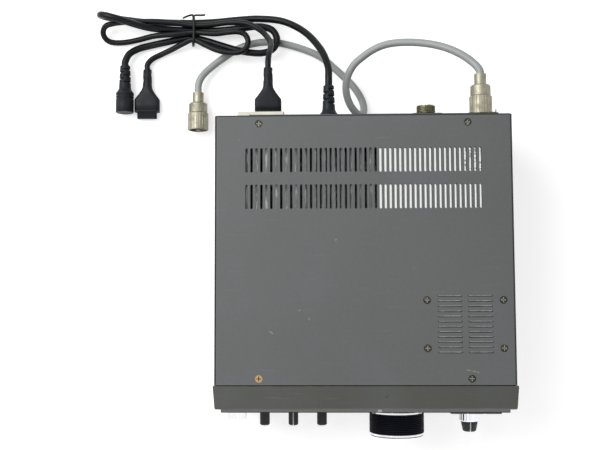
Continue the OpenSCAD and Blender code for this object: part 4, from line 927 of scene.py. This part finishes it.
def make_panel_marks():
    form = Form()
    back, front = PANEL_FACE + MARK_SUNK, PANEL_FACE - MARK_PROUD
    knobs = [(node, LEVEL_RADIUS + TICK_GAP, LEVEL_TICK) for node in KNOB_LEVELS]
    knobs.append(("gain_skirt", GAIN_TICK_AT, GAIN_TICK))
    for node, inner, length in knobs:
        centre = (middle(node).x, middle(node).z)
        for i, degrees in enumerate(evenly(-SWEEP, SWEEP, TICKS)):
            major = i % MAJOR_EVERY == 0
            outer = inner + length + (MAJOR_MORE if major else 0)
            width = MAJOR_WIDTH if major else MINOR_WIDTH
            tick(form, centre, inner, outer, width, degrees, back, front)
    # A small white mark on the top edge of the panel.
    top = box_mm("front_panel")[1].z
    left, right = WHITE_MARK_X - WHITE_MARK_W / 2, WHITE_MARK_X + WHITE_MARK_W / 2
    low, high = top - WHITE_MARK_DEEP, top + MARK_PROUD
    form.tile([(left, low), (right, low), (right, high), (left, high)],
              PANEL_FACE + WHITE_MARK_FROM, PANEL_FACE + WHITE_MARK_TO)
    piece("panel_marks", form.build("panel_marks"), "set", "meter_card", white_ink)


make_pointers()
make_panel_marks()


# Scale of the meter, in millimetres and degrees about the needle's pivot
METER_PIVOT = (middle("meter_needle").x, 62)
METER_FLOOR = 1.5
SCALE_SWING = 45
SCALE_RADIUS = 17.6
SCALE_LINE = 0.4
SCALE_STEPS = 10
SCALE_NUMBERS = (0, 2, 4, 6, 8, 10)
LONG_TICK = 1.5
SHORT_TICK = 0.9
TICK_WIDTH = 0.3
NUMBER_RADIUS = 20.4
NUMBER_SIZE = 2.7
NUMBER_LIFT = 0.6
ALERT_FROM = 15
ALERT_MORE = 0.5
ARC_POINTS = 41


def arc_strip(form, centre, inner, outer, start, end, back, front):
    """A curved bar on the panel's face."""
    rings = []
    for turn in evenly(start, end, ARC_POINTS):
        (x0, z0), (x1, z1) = polar(centre, outer, turn), polar(centre, inner, turn)
        rings.append([(x0, back, z0), (x0, front, z0), (x1, front, z1), (x1, back, z1)])
    form.loft(rings)


def number_mesh(value):
    """A plain number as a thin solid, centred on its own origin and facing up."""
    curve = bpy.data.curves.new("number", "FONT")
    curve.body = str(value)
    curve.size = NUMBER_SIZE * MM
    curve.align_x = "CENTER"
    curve.align_y = "CENTER"
    curve.extrude = MARK_PROUD * MM
    holder = bpy.data.objects.new("number", curve)
    mesh = bpy.data.meshes.new_from_object(holder)
    bpy.data.objects.remove(holder)
    return mesh


def make_meter_scale():
    card = box_mm("meter_case")[1].y - METER_FLOOR
    back, front = card + MARK_SUNK, card - MARK_PROUD
    centre = (middle("meter_case").x, METER_PIVOT[1])
    outer = SCALE_RADIUS + SCALE_LINE
    turns = evenly(-SCALE_SWING, SCALE_SWING, SCALE_STEPS + 1)
    form = Form()
    arc_strip(form, centre, SCALE_RADIUS, outer, -SCALE_SWING, ALERT_FROM, back, front)
    for i, degrees in enumerate(turns):
        length = LONG_TICK if i in SCALE_NUMBERS else SHORT_TICK
        tick(form, centre, outer, outer + length, TICK_WIDTH, degrees, back, front)
    for value in SCALE_NUMBERS:
        x, z = polar(centre, NUMBER_RADIUS, turns[value])
        matrix = Matrix.Translation(mm(x, card, z + NUMBER_LIFT)) @ Matrix.Rotation(math.pi / 2, 4, "X")
        form.copy_of(number_mesh(value), matrix)
    piece("meter_scale", form.build("meter_scale"), "set", "black_plastic", dark_ink)
    alert = Form()
    arc_strip(alert, centre, SCALE_RADIUS - ALERT_MORE, outer, ALERT_FROM, SCALE_SWING, back, front)
    piece("meter_scale_end", alert.build("meter_scale_end"), "set", "needle_paint")


make_meter_scale()


# Unlit digits of the display, in millimetres
DIGITS = 7
DIGIT_PITCH = 10.5
DIGIT_W = 6.2
DIGIT_H = 11
SEGMENT_W = 1.1
SEGMENT_GAP = 0.25
DIGIT_LEAN = 0.12
SEGMENTS = [((0, 0), (1, 0)), ((0, 1), (1, 1)), ((0, 2), (1, 2)),
            ((0, 0), (0, 1)), ((0, 1), (0, 2)), ((1, 0), (1, 1)), ((1, 1), (1, 2))]


def segment(form, start, end, back, front):
    """A six-sided bar between two points, pointed at both ends."""
    start, end = Vector(start), Vector(end)
    along = (end - start).normalized()
    side = Vector((-along.y, along.x)) * SEGMENT_W / 2
    near, far = start + along * SEGMENT_GAP, end - along * SEGMENT_GAP
    step = along * SEGMENT_W / 2
    form.tile([near, near + step + side, far - step + side, far, far - step - side, near + step - side],
              back, front)


def make_digits():
    face = box_mm("display_module")[0].y
    centre = middle("display_module")
    form = Form()
    for i in range(DIGITS):
        left = centre.x + (i - (DIGITS - 1) / 2) * DIGIT_PITCH - DIGIT_W / 2
        low = centre.z - DIGIT_H / 2

        def corner(column, row):
            height = row * DIGIT_H / 2
            return left + column * DIGIT_W + DIGIT_LEAN * height, low + height

        for start, end in SEGMENTS:
            segment(form, corner(*start), corner(*end), face + MARK_SUNK, face - MARK_PROUD)
    piece("display_digits", form.build("display_digits"), "set", "display_glass", ghost_ink)


make_digits()


# Flush screws at the corners of the antenna flanges, in millimetres
FLANGE_SCREW_AT = 9.2
FLANGE_T = 2
SCREW_HEAD = [(2.7, 0.05), (2.6, 0.2), (2.0, 0.4), (1.0, 0.48)]
SCREW_SINK = 0.4
SCREW_POINTS = 28
CROSS_LONG = 1.5
CROSS_WIDE = 0.32
CROSS_DEEP = 0.6
CROSS_TAPER = 0.55
CROSS_OVER = 0.5
CROSS_TURN = 0.7


def screw_mesh():
    """One screw head with its cross recess, standing on the origin along Z."""
    form = Form()
    rows = [(SCREW_HEAD[0][0], -SCREW_SINK)] + SCREW_HEAD
    rings = [[(x, y, height) for x, y in circle(radius, SCREW_POINTS)] for radius, height in rows]
    form.loft(rings, smooth=True)
    head = bpy.data.objects.new("head", form.build("head"))
    cross = Form()
    a, b = CROSS_LONG, CROSS_WIDE
    outline = [(a, b), (b, b), (b, a), (-b, a), (-b, b), (-a, b), (-a, -b), (-b, -b), (-b, -a), (b, -a),
               (b, -b), (a, -b)]
    top = SCREW_HEAD[-1][1]
    low = [(x * CROSS_TAPER, y * CROSS_TAPER, top - CROSS_DEEP) for x, y in outline]
    cross.loft([low, [(x, y, top + CROSS_OVER) for x, y in outline]])
    cutter = bpy.data.objects.new("cross", cross.build("cross"))
    for thing in (head, cutter):
        scene.collection.objects.link(thing)
    cut = head.modifiers.new("cut", "BOOLEAN")
    cut.object = cutter
    cut.operation = "DIFFERENCE"
    cut.solver = "EXACT"
    shown = head.evaluated_get(bpy.context.evaluated_depsgraph_get())
    mesh = bpy.data.meshes.new_from_object(shown)
    for thing in (head, cutter):
        bpy.data.objects.remove(thing)
    return mesh


def make_flange_screws():
    mesh = screw_mesh()
    low, high = box_mm("antenna_sockets")
    near = middle("coax_ring_near")
    spare_x = low.x + high.x - near.x
    face = box_mm("rear_panel")[1].y + FLANGE_T
    form = Form()
    for number, x in enumerate((near.x, spare_x)):
        for corner in range(4):
            side, up = (-1, 1)[corner % 2], (-1, 1)[corner // 2]
            place = mm(x + side * FLANGE_SCREW_AT, face, near.z + up * FLANGE_SCREW_AT)
            matrix = (Matrix.Translation(place) @ Matrix.Rotation(-math.pi / 2, 4, "X")
                      @ Matrix.Rotation(CROSS_TURN * corner + number, 4, "Z"))
            form.copy_of(mesh, matrix)
    piece("flange_screws", form.build("flange_screws"), "set", "socket_nickel")


# Solder lug under the upper outer screw of the plugged socket's flange, in millimetres from that screw
LUG_T = 0.9
LUG_OUTLINE = [(-2.6, -1.6), (0.6, -1.6), (2, -0.9), (2, 0.9), (0.6, 1.6), (-2.6, 1.6)]
LUG_TIP = (1.3, 2)
LUG_HALF = 0.9
LUG_BEND = 3.2
LUG_LAP = 0.05


def make_lug():
    """A flat lug on the flange whose narrow end is bent back."""
    near = middle("coax_ring_near")
    x, z = near.x + FLANGE_SCREW_AT, near.z + FLANGE_SCREW_AT
    face = box_mm("rear_panel")[1].y + FLANGE_T
    form = Form()
    form.tile([(x + u, z + v) for u, v in LUG_OUTLINE], face, face + LUG_T)
    left, right = x + LUG_TIP[0], x + LUG_TIP[1]
    low, high = z - LUG_HALF, z + LUG_HALF
    form.tile([(left, low), (right, low), (right, high), (left, high)],
              face + LUG_T - LUG_LAP, face + LUG_BEND)
    piece("ground_lug", form.build("ground_lug"), "set", "plug_nickel")


make_flange_screws()
make_lug()


# Turned-down rear lips of the grille's slots, in millimetres
GRILLE_AT = (80.9, -42.3)
GRILLE_ROWS = 12
GRILLE_PITCH = 4.1
GRILLE_COLUMNS = 24.4
SLOT_LONG = 18.4
SLOT_WIDE = 1.3
LIP_REACH = 0.8
LIP_DROP = 0.3
LIP_T = 0.3
LIP_LAP = 0.05
LIP_SINK = 0.06


def lip_paint():
    """The cover's paint, painted paler as painted light on the lips, with painted highlight patches along
    them.
    """
    # Painted light: paler than the cover, with pale highlight patches.
    look = painted_sheet("lip_paint", srgb(138, 140, 139))
    look.paint(look.between(look.noise(180, 4), 0.42, 0.66, 0, 0.75), srgb(182, 182, 177))
    return look.material


def make_grille_lips():
    top = COVER_TOP / MM - LIP_SINK
    form = Form()
    for row in range(GRILLE_ROWS):
        for column in (-1, 1):
            x = GRILLE_AT[0] + column * GRILLE_COLUMNS / 2
            rear = GRILLE_AT[1] + (row - (GRILLE_ROWS - 1) / 2) * GRILLE_PITCH + SLOT_WIDE / 2
            section = [(rear + LIP_LAP, top), (rear - LIP_REACH, top - LIP_DROP),
                       (rear - LIP_REACH, top - LIP_DROP - LIP_T), (rear + LIP_LAP, top - LIP_T)]
            form.loft([[(x + side * SLOT_LONG / 2, y, z) for y, z in section] for side in (-1, 1)])
    piece("grille_lips", form.build("grille_lips"), "set", "cover_paint", lip_paint())


make_grille_lips()


# Fins of the heat sink, a little closer together than every second vent slot, in millimetres
SINK_FINS = 14
SINK_FIRST = 2
SINK_PITCH = 7.86
SINK_BASE = 5
FIN_ROOT = 4
FIN_TIP = 3.9
FIN_EDGE = 0.5


def make_sink():
    low, high = box_mm("heat_sink")
    base = low.z + SINK_BASE
    outline = [(high.x, base), (high.x, low.z), (low.x, low.z), (low.x, base)]
    for i in range(SINK_FINS):
        x = low.x + SINK_FIRST + i * SINK_PITCH
        fin = [(FIN_ROOT / 2, base), (FIN_TIP / 2, high.z - FIN_EDGE), (FIN_TIP / 2 - FIN_EDGE, high.z)]
        outline += [(x - half, z) for half, z in fin] + [(x + half, z) for half, z in reversed(fin)]
    form = Form()
    form.tile(outline, high.y, low.y)
    made = piece("sink_fins", form.build("sink_fins"), "set", "sink_metal")
    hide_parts("heat_sink")


make_sink()


# Floor, lights and background
FLOOR_SIZE = 6
FLOOR_SEEN = 0.8
FLOOR_BOUNCE = 0.5
FLOOR_GLOW = 0.6
AMBIENT = 0.3


def seen_directly(tree):
    """1 for rays from the camera, from gloss and through glass, and 0 for the light itself."""
    path = tree.nodes.new("ShaderNodeLightPath")
    factor = path.outputs["Is Camera Ray"]
    for ray in ("Is Glossy Ray", "Is Transmission Ray"):
        node = tree.nodes.new("ShaderNodeMath")
        node.operation = "MAXIMUM"
        tree.links.new(factor, node.inputs[0])
        tree.links.new(path.outputs[ray], node.inputs[1])
        factor = node.outputs[0]
    return factor


def mix_shaders(tree, factor, first, second):
    mix = tree.nodes.new("ShaderNodeMixShader")
    tree.links.new(factor, mix.inputs[0])
    tree.links.new(first, mix.inputs[1])
    tree.links.new(second, mix.inputs[2])
    return mix.outputs[0]


def make_world():
    world = bpy.data.worlds.new("studio")
    scene.world = world
    world.use_nodes = True
    tree = world.node_tree
    light = tree.nodes["Background"]
    light.inputs["Strength"].default_value = AMBIENT
    light.inputs["Color"].default_value = (1, 1, 1, 1)
    shown = tree.nodes.new("ShaderNodeBackground")
    shown.inputs["Color"].default_value = (1, 1, 1, 1)
    both = mix_shaders(tree, seen_directly(tree), light.outputs[0], shown.outputs[0])
    tree.links.new(both, tree.nodes["World Output"].inputs["Surface"])


def make_floor():
    material = bpy.data.materials.new("pale_floor")
    material.use_nodes = True
    tree = material.node_tree
    tree.nodes.remove(tree.nodes["Principled BSDF"])
    seen = tree.nodes.new("ShaderNodeBsdfDiffuse")
    seen.inputs["Color"].default_value = (FLOOR_SEEN, FLOOR_SEEN, FLOOR_SEEN, 1)
    bounce = tree.nodes.new("ShaderNodeBsdfDiffuse")
    bounce.inputs["Color"].default_value = (FLOOR_BOUNCE, FLOOR_BOUNCE, FLOOR_BOUNCE, 1)
    glow = tree.nodes.new("ShaderNodeEmission")
    glow.inputs["Strength"].default_value = FLOOR_GLOW
    shown = tree.nodes.new("ShaderNodeAddShader")
    tree.links.new(seen.outputs[0], shown.inputs[0])
    tree.links.new(glow.outputs[0], shown.inputs[1])
    both = mix_shaders(tree, seen_directly(tree), bounce.outputs[0], shown.outputs[0])
    tree.links.new(both, tree.nodes["Material Output"].inputs["Surface"])
    mesh = bpy.data.meshes.new("floor")
    half = FLOOR_SIZE / 2
    corners = [(-half, -half, 0), (half, -half, 0), (half, half, 0), (-half, half, 0)]
    mesh.from_pydata(corners, [], [(0, 1, 2, 3)])
    mesh.materials.append(material)
    floor = bpy.data.objects.new("floor", mesh)
    scene.collection.objects.link(floor)


def area_light(name, place, target, size, power):
    """A square soft light, in metres and watts, that points at a target."""
    data = bpy.data.lights.new(name, "AREA")
    data.size = size
    data.energy = power
    lamp = bpy.data.objects.new(name, data)
    lamp.location = place
    lamp.rotation_euler = (Vector(target) - Vector(place)).to_track_quat("-Z", "Y").to_euler()
    scene.collection.objects.link(lamp)


make_world()
make_floor()
area_light("key_light", place=(-0.62, 0.42, 0.85), target=(0, 0, 0.09), size=0.8, power=9.5)
area_light("front_light", place=(0.3, -1.4, 0.42), target=(0, 0, 0.05), size=0.8, power=9)
